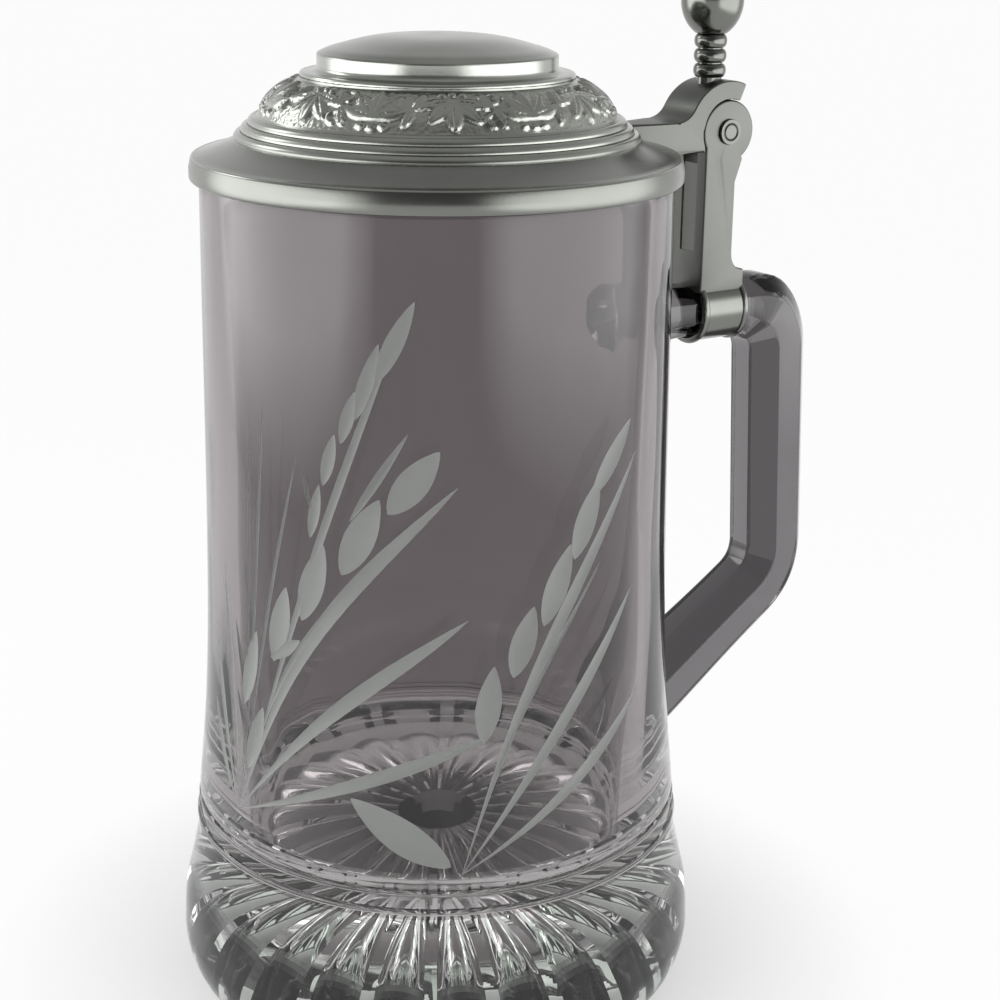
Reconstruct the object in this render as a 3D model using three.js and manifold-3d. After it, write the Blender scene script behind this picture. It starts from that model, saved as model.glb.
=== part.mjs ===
// A half-litre glass stein with a faceted handle and a hinged pewter lid.
// Millimetres, +Z up. The origin is the centre of the standing face, and the handle points along +X.

import * as THREE from "three";
import { mergeVertices } from "three/addons/utils/BufferGeometryUtils.js";
import Module from "manifold-3d";

const wasm = await Module();
wasm.setup();

// Clearances between pieces
const SEAT_GAP = 0.3;
const RUNNING_GAP = 0.08;
const RIM_CLEARANCE = 0.7;

// Glass body
const RIM_TOP = 163.5;
const RIM_RADIUS = 44.2;
const WAIST_RADIUS = 45.1;
const WAIST_HEIGHT = 95;
const SIDE_HOLLOW = 0.5;
const SIDE_HOLLOW_DROP = 4;
const SHOULDER_RADIUS = 48.4;
const SHOULDER_HEIGHT = 40;
const FLANK_RADIUS = 50.4;
const FLANK_DROP = 16;
const FLANK_FULLNESS = 0.75;
const FOOT_RADIUS = 52.5;
const FOOT_WIDEST = 10;
const FOOT_ROUNDING = 5;
const WALL = 4.3;
const FLOOR_HEIGHT = 35;
const FLOOR_CORNER = 4;
const RIDGE_RADIUS = 0.7;
const RIDGE_INSET = 0.7;
const RIDGE_DROPS = [5.6, 2];

// Hollow under the foot, with the petals of a star pressed into it round a flat button
const UNDER_RADIUS = 46;
const UNDER_HEIGHT = 20;
const UNDER_STEPS = 9;
const PETAL_COUNT = 22;
const PETAL_COLUMNS = 4;
const PETAL_DEPTH = 2.4;
const PETAL_RISE = 5;
const BUTTON_RADIUS = 5;
const BUTTON_SPREAD = 3;
const STAR_RUN_OUT = 6;

// Glass handle
const ARM_DROP = 33.5;
const UPPER_ROOT_WIDTH = 14;
const ARM_WIDTH = 10.6;
const GRIP_WIDTH = 15;
const ROOT_WIDTH = 17;
const GRIP_OFFSET = 41.4;
const GRIP_LEAN = 2.3;
const GRIP_SWELL_LENGTH = 8;
const ROOT_SPREAD_LENGTH = 41;
const UPPER_BEND = 8.5;
const UPPER_BEND_DROP = 11;
const BEND_PULL = 0.55;
const LOWER_CORNER_RISE = 28;
const LOWER_BEND = 9.5;
const HANDLE_SIDES = 8;
const HANDLE_STEPS = 60;

// Pewter mount
const HINGE_OFFSET = 21.2;
const HINGE_RISE = 3.4;
const RING_LENGTH = 11.6;
const RING_OFFSET = 0.4;
const RING_WALL = 0.8;
const RING_BEAD = 0.35;
const RING_BEAD_LENGTH = 1.4;
const RING_BEAD_SLOPE = 0.6;
const PIN_RADIUS = 2.1;
const PIN_HEAD_LIP = 0.5;
const PIN_HEAD_THICKNESS = 0.7;
const PIN_CHAMFER = 0.5;
const EAR_RADIUS = 6.3;
const EAR_OVERHANG = 0.8;
const HINGE_WIDTH = 10.4;
const KNUCKLE_WIDTH = 4;
const KNUCKLE_CLEARANCE = 0.9;
const SLOT_CLEARANCE = 2;
const SHANK_DEPTH = 7.8;
const SHANK_SINK = 2.7;
const FLARE_INSET = 0.5;
const FLARE_RISE = 1.6;
const FLARE_RADIUS = 4;
const STOP_DEPTH = 1.6;
const STOP_LENGTH = 4.5;
const STOP_DROP = 5.8;

// Pewter lid, its sections listed from the rim inwards and upwards
const LID_LIP = 1.1;
const SKIRT_DEPTH = 1.5;
const BAND_HEIGHT = 4.3;
const BAND_EDGE = 0.5;
const FLANGE_WIDTH = 8.4;
const FLANGE_RISE = 2.9;
const FLANGE_CURVE = 1.5;
const FLANGE_DIP = 1.2;
const RIBS_WIDTH = 4;
const RIBS_RISE = 4;
const RIB_COUNT = 3;
const RIB_RADIUS = 0.75;
const FRIEZE_WIDTH = 8.2;
const FRIEZE_RISE = 6.9;
const FRIEZE_STEP = 0.4;
const FRIEZE_BULGE = 0.9;
const COLLAR_WIDTH = 3.2;
const COLLAR_RISE = 4;
const COLLAR_BEAD = 0.7;
const LID_WALL = 2;
const SEAT_WIDTH = 5.5;
const DISC_OVERHANG = 0.2;
const DISC_EDGE = 0.8;
const DISC_CHAMFER = 0.5;
const DOME_RISE = 3.4;
const LID_SEGMENTS = 60;

// Tang and thumblift
const TANG_OVERLAP = 3.2;
const TANG_TIP_WIDTH = 5.6;
const TANG_BOTTOM_DROP = 3.8;
const TANG_TOP_RISE = 2.4;
const SADDLE_WALL = 3.5;
const SADDLE_START = 66;
const SADDLE_END = 150;
const STEM_OFFSET = 1.6;
const STEM_LENGTH = 15.3;
const STEM_RADIUS = 2.5;
const BEAD_PROUD = 0.8;
const BEAD_HALF_HEIGHT = 1.35;
const BEAD_COUNT = 3;
const BALL_RADIUS = 6.3;
const BALL_DROP = 7.6;
const BALL_NECK_ANGLE = -60;

// Places that follow from the sizes
const FLANK_TOP = SHOULDER_HEIGHT - FLANK_DROP;
const BODY_SEGMENTS = PETAL_COUNT * PETAL_COLUMNS;
const ARM_HEIGHT = RIM_TOP - ARM_DROP;
const GRIP_REACH = RIM_RADIUS + GRIP_OFFSET;
const PIN_REACH = RIM_RADIUS + HINGE_OFFSET;
const PIN_HEIGHT = RIM_TOP + HINGE_RISE;
const RING_REACH = PIN_REACH + RING_OFFSET;
const RING_BORE = ARM_WIDTH / 2 / Math.cos(Math.PI / HANDLE_SIDES) + SEAT_GAP;
const RING_RADIUS = RING_BORE + RING_WALL;
const SHANK_INNER = PIN_REACH - EAR_RADIUS + EAR_OVERHANG;
const SADDLE_RADIUS = EAR_RADIUS + SEAT_GAP + SADDLE_WALL;
const SKIRT_RADIUS = RIM_RADIUS + RIM_CLEARANCE;
const LID_RADIUS = SKIRT_RADIUS + LID_LIP;
const LID_BOTTOM = RIM_TOP - SKIRT_DEPTH;
const RIB_FOOT_RADIUS = LID_RADIUS - FLANGE_WIDTH;
const RIB_FOOT = LID_BOTTOM + BAND_HEIGHT + FLANGE_RISE;
const FRIEZE_FOOT_RADIUS = RIB_FOOT_RADIUS - RIBS_WIDTH;
const FRIEZE_FOOT = RIB_FOOT + RIBS_RISE;
const FRIEZE_TOP_RADIUS = FRIEZE_FOOT_RADIUS - FRIEZE_WIDTH;
const FRIEZE_TOP = FRIEZE_FOOT + FRIEZE_RISE;
const COLLAR_RADIUS = FRIEZE_TOP_RADIUS - COLLAR_WIDTH;
const COLLAR_TOP = FRIEZE_TOP + COLLAR_RISE;

const pewter = () => new THREE.MeshStandardMaterial({ color: 0x8f938c, roughness: 0.32, metalness: 1 });
const glass = () => new THREE.MeshStandardMaterial({
  color: 0x8a8388, roughness: 0.06, metalness: 0, transparent: true, opacity: 0.45,
});

// Helpers for solids

const point = (r, z) => new THREE.Vector2(r, z);

// Points on an elliptic arc in the section plane, angles in degrees from the outward direction
function arc(centreR, centreZ, radiusR, radiusZ, from, to, steps) {
  const points = [];
  for (let i = 0; i <= steps; i += 1) {
    const angle = THREE.MathUtils.degToRad(from + ((to - from) * i) / steps);
    points.push(point(centreR + radiusR * Math.cos(angle), centreZ + radiusZ * Math.sin(angle)));
  }
  return points;
}

function toSolid(geometry) {
  geometry.deleteAttribute("normal");
  geometry.deleteAttribute("uv");
  const merged = mergeVertices(geometry, 1e-4);
  const vertProperties = new Float32Array(merged.attributes.position.array);
  const triVerts = new Uint32Array(merged.index.array);
  return new wasm.Manifold(new wasm.Mesh({ numProp: 3, vertProperties, triVerts }));
}

function toMesh(solid, name, material) {
  const { vertProperties, triVerts } = solid.getMesh();
  const geometry = new THREE.BufferGeometry();
  geometry.setAttribute("position", new THREE.BufferAttribute(vertProperties, 3));
  geometry.setIndex(new THREE.BufferAttribute(triVerts, 1));
  geometry.computeVertexNormals();
  const mesh = new THREE.Mesh(geometry, material);
  mesh.name = name;
  return mesh;
}

// Body of revolution about the vertical axis, its section listed from the bottom of the axis outwards
function turned(section, segments) {
  return new THREE.LatheGeometry(section, segments).rotateX(Math.PI / 2);
}

// Plate with an outline in the X-Z plane, centred on Y = 0
function plate(shape, width) {
  const options = { depth: width, bevelEnabled: false, curveSegments: 10 };
  return new THREE.ExtrudeGeometry(shape, options).rotateX(Math.PI / 2).translate(0, width / 2, 0);
}

// Round bar along Y through the hinge, or along X when turned
function barAlongY(radius, width, x, z, segments = 32) {
  return new THREE.CylinderGeometry(radius, radius, width, segments).translate(x, 0, z);
}

function barAlongX(radius, length, x, z, segments = 32) {
  return new THREE.CylinderGeometry(radius, radius, length, segments).rotateZ(Math.PI / 2).translate(x, 0, z);
}

// Glass body

// Outer outline of the glass from the standing face to the rim, moved out by an optional margin
function bodyOutline(margin = 0) {
  const foot = arc(FOOT_RADIUS - FOOT_ROUNDING, FOOT_WIDEST, FOOT_ROUNDING, FOOT_WIDEST, -90, 0, 5);
  const flank = [
    point(THREE.MathUtils.lerp(FLANK_RADIUS, FOOT_RADIUS, FLANK_FULLNESS), (FOOT_WIDEST + FLANK_TOP) / 2),
    point(FLANK_RADIUS, FLANK_TOP),
  ];
  const ridges = RIDGE_DROPS.flatMap((drop) => {
    const radius = THREE.MathUtils.lerp(SHOULDER_RADIUS, FLANK_RADIUS, drop / FLANK_DROP);
    return arc(radius - RIDGE_INSET, SHOULDER_HEIGHT - drop, RIDGE_RADIUS, RIDGE_RADIUS, -90, 90, 2);
  });
  const side = new THREE.SplineCurve([
    point(SHOULDER_RADIUS, SHOULDER_HEIGHT),
    point(
      (SHOULDER_RADIUS + WAIST_RADIUS) / 2 - SIDE_HOLLOW,
      (SHOULDER_HEIGHT + WAIST_HEIGHT) / 2 - SIDE_HOLLOW_DROP,
    ),
    point(WAIST_RADIUS, WAIST_HEIGHT),
    point(RIM_RADIUS, RIM_TOP - WALL / 2),
  ]).getPoints(6);
  return [...foot, ...flank, ...ridges, ...side].map((p) => point(p.x + margin, p.y));
}

// Height of the domed hollow under the foot
function underHeightAt(radius) {
  return UNDER_HEIGHT * Math.max(0, 1 - (radius / UNDER_RADIUS) ** 3) ** (2 / 3);
}

// The underside from the button in its middle, through the hollow, to the standing ring
function underLine() {
  const start = BUTTON_RADIUS + BUTTON_SPREAD;
  const line = [point(0, 0), point(BUTTON_RADIUS, 0)];
  for (let i = 0; i <= UNDER_STEPS; i += 1) {
    const share = Math.sin(((Math.PI / 2) * i) / UNDER_STEPS);
    const radius = THREE.MathUtils.lerp(start, UNDER_RADIUS, share);
    line.push(point(radius, underHeightAt(radius)));
  }
  return line;
}

function bodySection() {
  const innerRadius = RIM_RADIUS - WALL;
  const lip = arc(RIM_RADIUS - WALL / 2, RIM_TOP - WALL / 2, WALL / 2, WALL / 2, 45, 180, 3);
  const cornerZ = FLOOR_HEIGHT + FLOOR_CORNER;
  const corner = arc(innerRadius - FLOOR_CORNER, cornerZ, FLOOR_CORNER, FLOOR_CORNER, 0, -90, 2);
  return [...underLine(), ...bodyOutline(), ...lip, ...corner, point(0, FLOOR_HEIGHT)];
}

// Depth of the petals at one place of the hollow: none at its middle and at the standing ring
function petalDepthAt(radius, height) {
  const inner = THREE.MathUtils.clamp((radius - BUTTON_RADIUS - BUTTON_SPREAD) / STAR_RUN_OUT, 0, 1);
  const outer = THREE.MathUtils.clamp(height / PETAL_RISE, 0, 1);
  return PETAL_DEPTH * inner * outer;
}

// Presses the petals into the hollow, square to its surface, with a narrow rib left between each two
function pressPetals(geometry) {
  const position = geometry.attributes.position;
  const reach = 0.1;
  for (let i = 0; i < position.count; i += 1) {
    const radius = Math.hypot(position.getX(i), position.getY(i));
    const height = position.getZ(i);
    if (height > UNDER_HEIGHT || radius > UNDER_RADIUS || radius < BUTTON_RADIUS + BUTTON_SPREAD) continue;
    const turn = (Math.atan2(position.getY(i), position.getX(i)) / (2 * Math.PI)) * PETAL_COUNT;
    const across = 2 * (turn - Math.round(turn));
    const depth = petalDepthAt(radius, height) * (1 - across ** 2);
    const slope = (underHeightAt(radius + reach) - underHeightAt(radius - reach)) / (2 * reach);
    const square = point(-slope, 1).normalize();
    const scale = (radius + square.x * depth) / radius;
    position.setXYZ(i, position.getX(i) * scale, position.getY(i) * scale, height + square.y * depth);
  }
  return geometry;
}

function makeGlassBody() {
  return toSolid(pressPetals(turned(bodySection(), BODY_SEGMENTS)));
}

// Glass handle

// Centre line of the handle: out along the arm, down the grip and back in to the lower root
function handlePath() {
  const place = (x, z) => new THREE.Vector3(x, 0, z);
  const gripTop = GRIP_REACH - GRIP_LEAN;
  const armEnd = gripTop - UPPER_BEND;
  const armStart = place(RIM_RADIUS - WALL, ARM_HEIGHT);
  const bendStart = place(armEnd, ARM_HEIGHT);
  const bendEnd = place(gripTop, ARM_HEIGHT - UPPER_BEND_DROP);
  const gripEnd = place(GRIP_REACH, SHOULDER_HEIGHT + LOWER_CORNER_RISE + LOWER_BEND);
  const lowerCorner = place(GRIP_REACH, SHOULDER_HEIGHT + LOWER_CORNER_RISE);
  const root = place(SHOULDER_RADIUS - WALL, SHOULDER_HEIGHT);
  const armIn = root.clone().sub(lowerCorner).normalize();
  const lowerStart = lowerCorner.clone().addScaledVector(armIn, LOWER_BEND);
  const path = new THREE.CurvePath();
  path.add(new THREE.LineCurve3(armStart, bendStart));
  path.add(new THREE.CubicBezierCurve3(
    bendStart,
    place(armEnd + UPPER_BEND * BEND_PULL, ARM_HEIGHT),
    place(gripTop, ARM_HEIGHT - UPPER_BEND_DROP * (1 - BEND_PULL)),
    bendEnd,
  ));
  path.add(new THREE.LineCurve3(bendEnd, gripEnd));
  path.add(new THREE.QuadraticBezierCurve3(gripEnd, lowerCorner, lowerStart));
  path.add(new THREE.LineCurve3(lowerStart, root));
  return path;
}

// Width across the flats along the handle: narrow in the ring, full on the grip, spread at both roots
function handleWidthAt(distance, length) {
  const ease = THREE.MathUtils.smoothstep;
  const step = length / HANDLE_STEPS;
  const ringStart = RING_REACH - RING_LENGTH / 2 - (RIM_RADIUS - WALL);
  const ringEnd = ringStart + RING_LENGTH;
  const arm = THREE.MathUtils.lerp(UPPER_ROOT_WIDTH, ARM_WIDTH, ease(distance, 0, ringStart - step));
  const swell = ease(distance, ringEnd + step, ringEnd + GRIP_SWELL_LENGTH);
  const grip = THREE.MathUtils.lerp(arm, GRIP_WIDTH, swell);
  return THREE.MathUtils.lerp(grip, ROOT_WIDTH, ease(distance, length - ROOT_SPREAD_LENGTH, length));
}

// Faceted bar swept along the centre line, with its rings of corners set square to the line
function makeGlassHandle() {
  const path = handlePath();
  const cornerRadius = 0.5 / Math.cos(Math.PI / HANDLE_SIDES);
  const corners = [];
  for (let side = 0; side < HANDLE_SIDES; side += 1) {
    const angle = ((side + 0.5) * 2 * Math.PI) / HANDLE_SIDES;
    corners.push(point(cornerRadius * Math.cos(angle), cornerRadius * Math.sin(angle)));
  }
  const options = { steps: HANDLE_STEPS, extrudePath: path, bevelEnabled: false };
  const bar = new THREE.ExtrudeGeometry(new THREE.Shape(corners), options);
  widenAlong(bar, path);
  return toSolid(bar).subtract(toSolid(turned(bodyCore(SEAT_GAP), BODY_SEGMENTS)));
}

// Spreads each ring of a swept unit bar to the handle's width at that place
function widenAlong(bar, path) {
  const position = bar.attributes.position;
  const centres = path.getSpacedPoints(HANDLE_STEPS);
  const length = path.getLength();
  const place = new THREE.Vector3();
  for (let i = 0; i < position.count; i += 1) {
    place.fromBufferAttribute(position, i);
    const distances = centres.map((centre) => centre.distanceTo(place));
    const ring = distances.indexOf(Math.min(...distances));
    const width = handleWidthAt((ring / HANDLE_STEPS) * length, length);
    place.sub(centres[ring]).multiplyScalar(width).add(centres[ring]);
    position.setXYZ(i, place.x, place.y, place.z);
  }
}

// The solid of the glass body without its hollow, grown by a margin, used to cut what is welded on it
function bodyCore(margin) {
  return [point(0, 0), ...bodyOutline(margin), point(0, RIM_TOP)];
}

// Pewter ring and shank

function makeHandleRing() {
  const half = RING_LENGTH / 2;
  const beadRadius = RING_RADIUS + RING_BEAD;
  const section = [
    point(RING_BORE, -half),
    point(beadRadius, -half),
    point(beadRadius, -half + RING_BEAD_LENGTH),
    point(RING_RADIUS, -half + RING_BEAD_LENGTH + RING_BEAD_SLOPE),
    point(RING_RADIUS, half - RING_BEAD_LENGTH - RING_BEAD_SLOPE),
    point(beadRadius, half - RING_BEAD_LENGTH),
    point(beadRadius, half),
    point(RING_BORE, half),
    point(RING_BORE, -half),
  ];
  const ring = new THREE.LatheGeometry(section, 32).rotateZ(-Math.PI / 2);
  return toSolid(ring.translate(RING_REACH, 0, ARM_HEIGHT));
}

function makeHingeShank() {
  const outer = SHANK_INNER + SHANK_DEPTH;
  const ringEnd = RING_REACH + RING_LENGTH / 2 - FLARE_INSET;
  const foot = ARM_HEIGHT + RING_RADIUS - SHANK_SINK;
  const flare = ARM_HEIGHT + RING_RADIUS + FLARE_RISE;
  const stop = PIN_HEIGHT - STOP_DROP;
  const shape = new THREE.Shape();
  shape.moveTo(SHANK_INNER, foot);
  shape.lineTo(ringEnd, foot);
  shape.lineTo(ringEnd, flare);
  shape.quadraticCurveTo(outer, flare, outer, flare + FLARE_RADIUS);
  shape.lineTo(outer, stop - STOP_LENGTH);
  shape.lineTo(outer + STOP_DEPTH, stop);
  shape.lineTo(outer, PIN_HEIGHT);
  shape.lineTo(SHANK_INNER, PIN_HEIGHT);
  shape.closePath();
  const ears = toSolid(barAlongY(EAR_RADIUS, HINGE_WIDTH, PIN_REACH, PIN_HEIGHT));
  const slotWidth = KNUCKLE_WIDTH + 2 * SEAT_GAP;
  const slot = toSolid(barAlongY(EAR_RADIUS + SLOT_CLEARANCE, slotWidth, PIN_REACH, PIN_HEIGHT));
  const bore = toSolid(barAlongY(PIN_RADIUS + RUNNING_GAP, HINGE_WIDTH * 2, PIN_REACH, PIN_HEIGHT));
  const ringCut = RING_RADIUS + RING_BEAD + SEAT_GAP;
  const ringSpace = toSolid(barAlongX(ringCut, RING_LENGTH * 3, RING_REACH, ARM_HEIGHT));
  return toSolid(plate(shape, HINGE_WIDTH)).add(ears).subtract(slot).subtract(bore).subtract(ringSpace);
}

function makeHingePin() {
  const half = HINGE_WIDTH / 2 + SEAT_GAP;
  const end = half + PIN_HEAD_THICKNESS;
  const head = PIN_RADIUS + PIN_HEAD_LIP;
  const section = [
    point(0, -end),
    point(head - PIN_CHAMFER, -end),
    point(head, -end + PIN_CHAMFER),
    point(head, -half),
    point(PIN_RADIUS, -half),
    point(PIN_RADIUS, half),
    point(head, half),
    point(head, end - PIN_CHAMFER),
    point(head - PIN_CHAMFER, end),
    point(0, end),
  ];
  return toSolid(new THREE.LatheGeometry(section, 32).translate(PIN_REACH, 0, PIN_HEIGHT));
}

// Pewter lid

// Outer outline of the lid from the bottom of its rim band up to the collar, moved out by an optional margin
function lidOutline(margin = 0) {
  const bandTop = LID_BOTTOM + BAND_HEIGHT;
  const band = [
    point(LID_RADIUS - BAND_EDGE, LID_BOTTOM),
    point(LID_RADIUS, LID_BOTTOM + BAND_EDGE),
    point(LID_RADIUS, bandTop - BAND_EDGE),
  ];
  const flange = new THREE.QuadraticBezierCurve(
    point(LID_RADIUS - BAND_EDGE, bandTop),
    point(RIB_FOOT_RADIUS + FLANGE_CURVE, RIB_FOOT - FLANGE_DIP),
    point(RIB_FOOT_RADIUS, RIB_FOOT),
  ).getPoints(3);
  const ribs = [];
  for (let i = 0; i < RIB_COUNT; i += 1) {
    const middle = (i + 0.5) / RIB_COUNT;
    const radius = THREE.MathUtils.lerp(RIB_FOOT_RADIUS, FRIEZE_FOOT_RADIUS, middle);
    const height = THREE.MathUtils.lerp(RIB_FOOT, FRIEZE_FOOT, middle);
    ribs.push(...arc(radius, height, RIB_RADIUS, RIB_RADIUS, -45, 135, 2));
  }
  const frieze = [
    point(FRIEZE_FOOT_RADIUS - FRIEZE_STEP, FRIEZE_FOOT + FRIEZE_STEP),
    point(FRIEZE_FOOT_RADIUS - FRIEZE_WIDTH / 2 + FRIEZE_BULGE, FRIEZE_FOOT + FRIEZE_RISE / 2 + FRIEZE_BULGE),
    point(FRIEZE_TOP_RADIUS, FRIEZE_TOP),
  ];
  const beadRadius = FRIEZE_TOP_RADIUS - COLLAR_BEAD;
  const collar = [
    ...arc(beadRadius, FRIEZE_TOP + COLLAR_BEAD, COLLAR_BEAD, COLLAR_BEAD, -30, 120, 2),
    point(COLLAR_RADIUS, FRIEZE_TOP + 1.5 * COLLAR_BEAD),
    point(COLLAR_RADIUS, COLLAR_TOP),
  ];
  return [...band, ...flange, ...ribs, ...frieze, ...collar].map((p) => point(p.x + margin, p.y));
}

// Underside of the lid from the middle down to the inside of its skirt
function lidHollow() {
  const seat = RIM_TOP + SEAT_GAP;
  const under = (radius, height) => point(radius - LID_WALL * Math.SQRT1_2, height - LID_WALL);
  return [
    point(0, COLLAR_TOP - LID_WALL),
    under(COLLAR_RADIUS, COLLAR_TOP),
    under(FRIEZE_TOP_RADIUS, FRIEZE_TOP),
    under(FRIEZE_FOOT_RADIUS, FRIEZE_FOOT),
    under(RIB_FOOT_RADIUS, RIB_FOOT),
    point(SKIRT_RADIUS - SEAT_WIDTH, seat),
    point(SKIRT_RADIUS, seat),
    point(SKIRT_RADIUS, LID_BOTTOM),
  ];
}

function makeLidCap() {
  return toSolid(turned([...lidHollow(), ...lidOutline(), point(0, COLLAR_TOP)], LID_SEGMENTS));
}

function makeLidTopDisc() {
  const radius = COLLAR_RADIUS + DISC_OVERHANG;
  const bottom = COLLAR_TOP + SEAT_GAP;
  const section = [
    point(0, bottom),
    point(radius - DISC_CHAMFER, bottom),
    point(radius, bottom + DISC_EDGE / 2),
    ...arc(0, bottom + DISC_EDGE, radius, DOME_RISE, 4, 90, 5),
  ];
  return toSolid(turned(section, LID_SEGMENTS));
}

// The lid's solid without its hollow, grown by a margin, used to cut what is soldered on it
function lidCore(margin) {
  const outline = lidOutline(margin);
  const bottom = point(0, LID_BOTTOM - margin);
  const first = point(outline[0].x, LID_BOTTOM - margin);
  return [bottom, first, ...outline, point(0, COLLAR_TOP)];
}

// Tang with its knuckle, and thumblift

function makeLidTang() {
  const tip = LID_RADIUS - TANG_OVERLAP;
  const start = THREE.MathUtils.degToRad(SADDLE_START);
  const end = THREE.MathUtils.degToRad(SADDLE_END);
  const bottom = PIN_HEIGHT - TANG_BOTTOM_DROP;
  const top = PIN_HEIGHT + TANG_TOP_RISE;
  const saddleFoot = PIN_REACH - SADDLE_RADIUS;
  const shape = new THREE.Shape();
  shape.moveTo(tip, bottom);
  shape.lineTo(saddleFoot - SADDLE_WALL, bottom);
  shape.lineTo(SHANK_INNER - SEAT_GAP, bottom);
  shape.lineTo(SHANK_INNER - SEAT_GAP, PIN_HEIGHT);
  shape.lineTo(PIN_REACH, PIN_HEIGHT);
  shape.lineTo(PIN_REACH + SADDLE_RADIUS * Math.cos(start), PIN_HEIGHT + SADDLE_RADIUS * Math.sin(start));
  shape.absarc(PIN_REACH, PIN_HEIGHT, SADDLE_RADIUS, start, end, false);
  shape.quadraticCurveTo(saddleFoot, top, saddleFoot - SADDLE_WALL, top);
  shape.lineTo(tip, top);
  shape.closePath();
  const earSpace = toSolid(barAlongY(EAR_RADIUS + SEAT_GAP, HINGE_WIDTH * 2, PIN_REACH, PIN_HEIGHT));
  const knuckle = toSolid(barAlongY(EAR_RADIUS - KNUCKLE_CLEARANCE, KNUCKLE_WIDTH, PIN_REACH, PIN_HEIGHT));
  const web = toSolid(plate(shape, KNUCKLE_WIDTH));
  const bore = toSolid(barAlongY(PIN_RADIUS + RUNNING_GAP, HINGE_WIDTH * 2, PIN_REACH, PIN_HEIGHT));
  const arm = toSolid(narrowTip(plate(shape, HINGE_WIDTH))).subtract(earSpace);
  const lid = toSolid(turned(lidCore(SEAT_GAP), LID_SEGMENTS));
  return arm.add(web).add(knuckle).subtract(bore).subtract(lid);
}

// Draws the sides of the tang's arm in towards its tip on the lid
function narrowTip(geometry) {
  const position = geometry.attributes.position;
  const tip = LID_RADIUS - TANG_OVERLAP;
  const full = PIN_REACH - SADDLE_RADIUS - SADDLE_WALL;
  for (let i = 0; i < position.count; i += 1) {
    const share = THREE.MathUtils.clamp((full - position.getX(i)) / (full - tip), 0, 1);
    position.setY(i, position.getY(i) * THREE.MathUtils.lerp(1, TANG_TIP_WIDTH / HINGE_WIDTH, share));
  }
  return geometry;
}

function makeThumblift() {
  const base = PIN_HEIGHT + SADDLE_RADIUS + SEAT_GAP;
  const ball = base + STEM_LENGTH;
  const neck = STEM_LENGTH + BALL_DROP * Math.sin(THREE.MathUtils.degToRad(BALL_NECK_ANGLE));
  const pitch = neck / BEAD_COUNT;
  const beads = [];
  for (let i = 0; i < BEAD_COUNT; i += 1) {
    const height = base + (i + 0.5) * pitch;
    beads.push(...arc(STEM_RADIUS, height, BEAD_PROUD, BEAD_HALF_HEIGHT, -90, 90, 4));
  }
  const knob = [
    ...arc(0, ball, BALL_RADIUS, BALL_DROP, BALL_NECK_ANGLE, 0, 4),
    ...arc(0, ball, BALL_RADIUS, BALL_RADIUS, 0, 90, 5).slice(1),
  ];
  const section = [point(0, base), point(STEM_RADIUS, base), ...beads, ...knob];
  return toSolid(turned(section, 24).translate(PIN_REACH - STEM_OFFSET, 0, 0));
}

// The assembled stein, its lid in a group of its own

const lid = new THREE.Group();
lid.add(
  toMesh(makeLidCap(), "lid_cap", pewter()),
  toMesh(makeLidTopDisc(), "lid_top_disc", pewter()),
  toMesh(makeLidTang(), "lid_tang", pewter()),
  toMesh(makeThumblift(), "thumblift", pewter()),
);

const stein = new THREE.Group();
stein.add(
  toMesh(makeGlassBody(), "glass_body", glass()),
  toMesh(makeGlassHandle(), "glass_handle", glass()),
  toMesh(makeHandleRing(), "handle_ring", pewter()),
  toMesh(makeHingeShank(), "hinge_shank", pewter()),
  toMesh(makeHingePin(), "hinge_pin", pewter()),
  lid,
);

export default stein;
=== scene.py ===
"""A cut-glass stein with a hinged pewter lid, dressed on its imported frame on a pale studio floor."""

import math

import bmesh
import bpy
import numpy as np
from mathutils import Matrix, Vector


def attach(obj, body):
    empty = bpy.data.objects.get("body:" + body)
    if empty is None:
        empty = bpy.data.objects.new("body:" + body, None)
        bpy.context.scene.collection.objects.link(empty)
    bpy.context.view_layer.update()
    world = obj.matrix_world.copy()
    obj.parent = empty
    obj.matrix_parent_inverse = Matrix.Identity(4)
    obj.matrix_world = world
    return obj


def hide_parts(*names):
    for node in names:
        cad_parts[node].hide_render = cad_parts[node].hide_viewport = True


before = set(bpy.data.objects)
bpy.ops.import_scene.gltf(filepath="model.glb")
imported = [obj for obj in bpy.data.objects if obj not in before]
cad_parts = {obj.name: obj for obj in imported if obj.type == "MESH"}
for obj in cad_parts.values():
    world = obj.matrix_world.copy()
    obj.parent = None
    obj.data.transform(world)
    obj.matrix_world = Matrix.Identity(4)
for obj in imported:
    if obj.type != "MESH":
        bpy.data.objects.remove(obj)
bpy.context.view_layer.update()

MM = 0.001

# Glass body, in millimetres
RIM_TOP = 163.5
RIM_RADIUS = 44.2
WALL = 4.3
WAIST_RADIUS = 45.1
WAIST_HEIGHT = 95
SIDE_HOLLOW = 0.5
SIDE_HOLLOW_DROP = 4
SHOULDER_RADIUS = 48.4
SHOULDER_HEIGHT = 40
RIDGE_RADIUS = 0.7
RIDGE_INSET = 0.7
RIDGE_DROPS = (5.6, 2)
FOOT_RADIUS = 52.5
FOOT_WIDEST = 10
FOOT_ROUNDING = 5
FLOOR_HEIGHT = 35
FLOOR_CORNER = 4
FLOOR_RINGS = (24, 12, 0)
FACE_SLACK = 1
INNER_RADIUS = RIM_RADIUS - WALL

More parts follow.
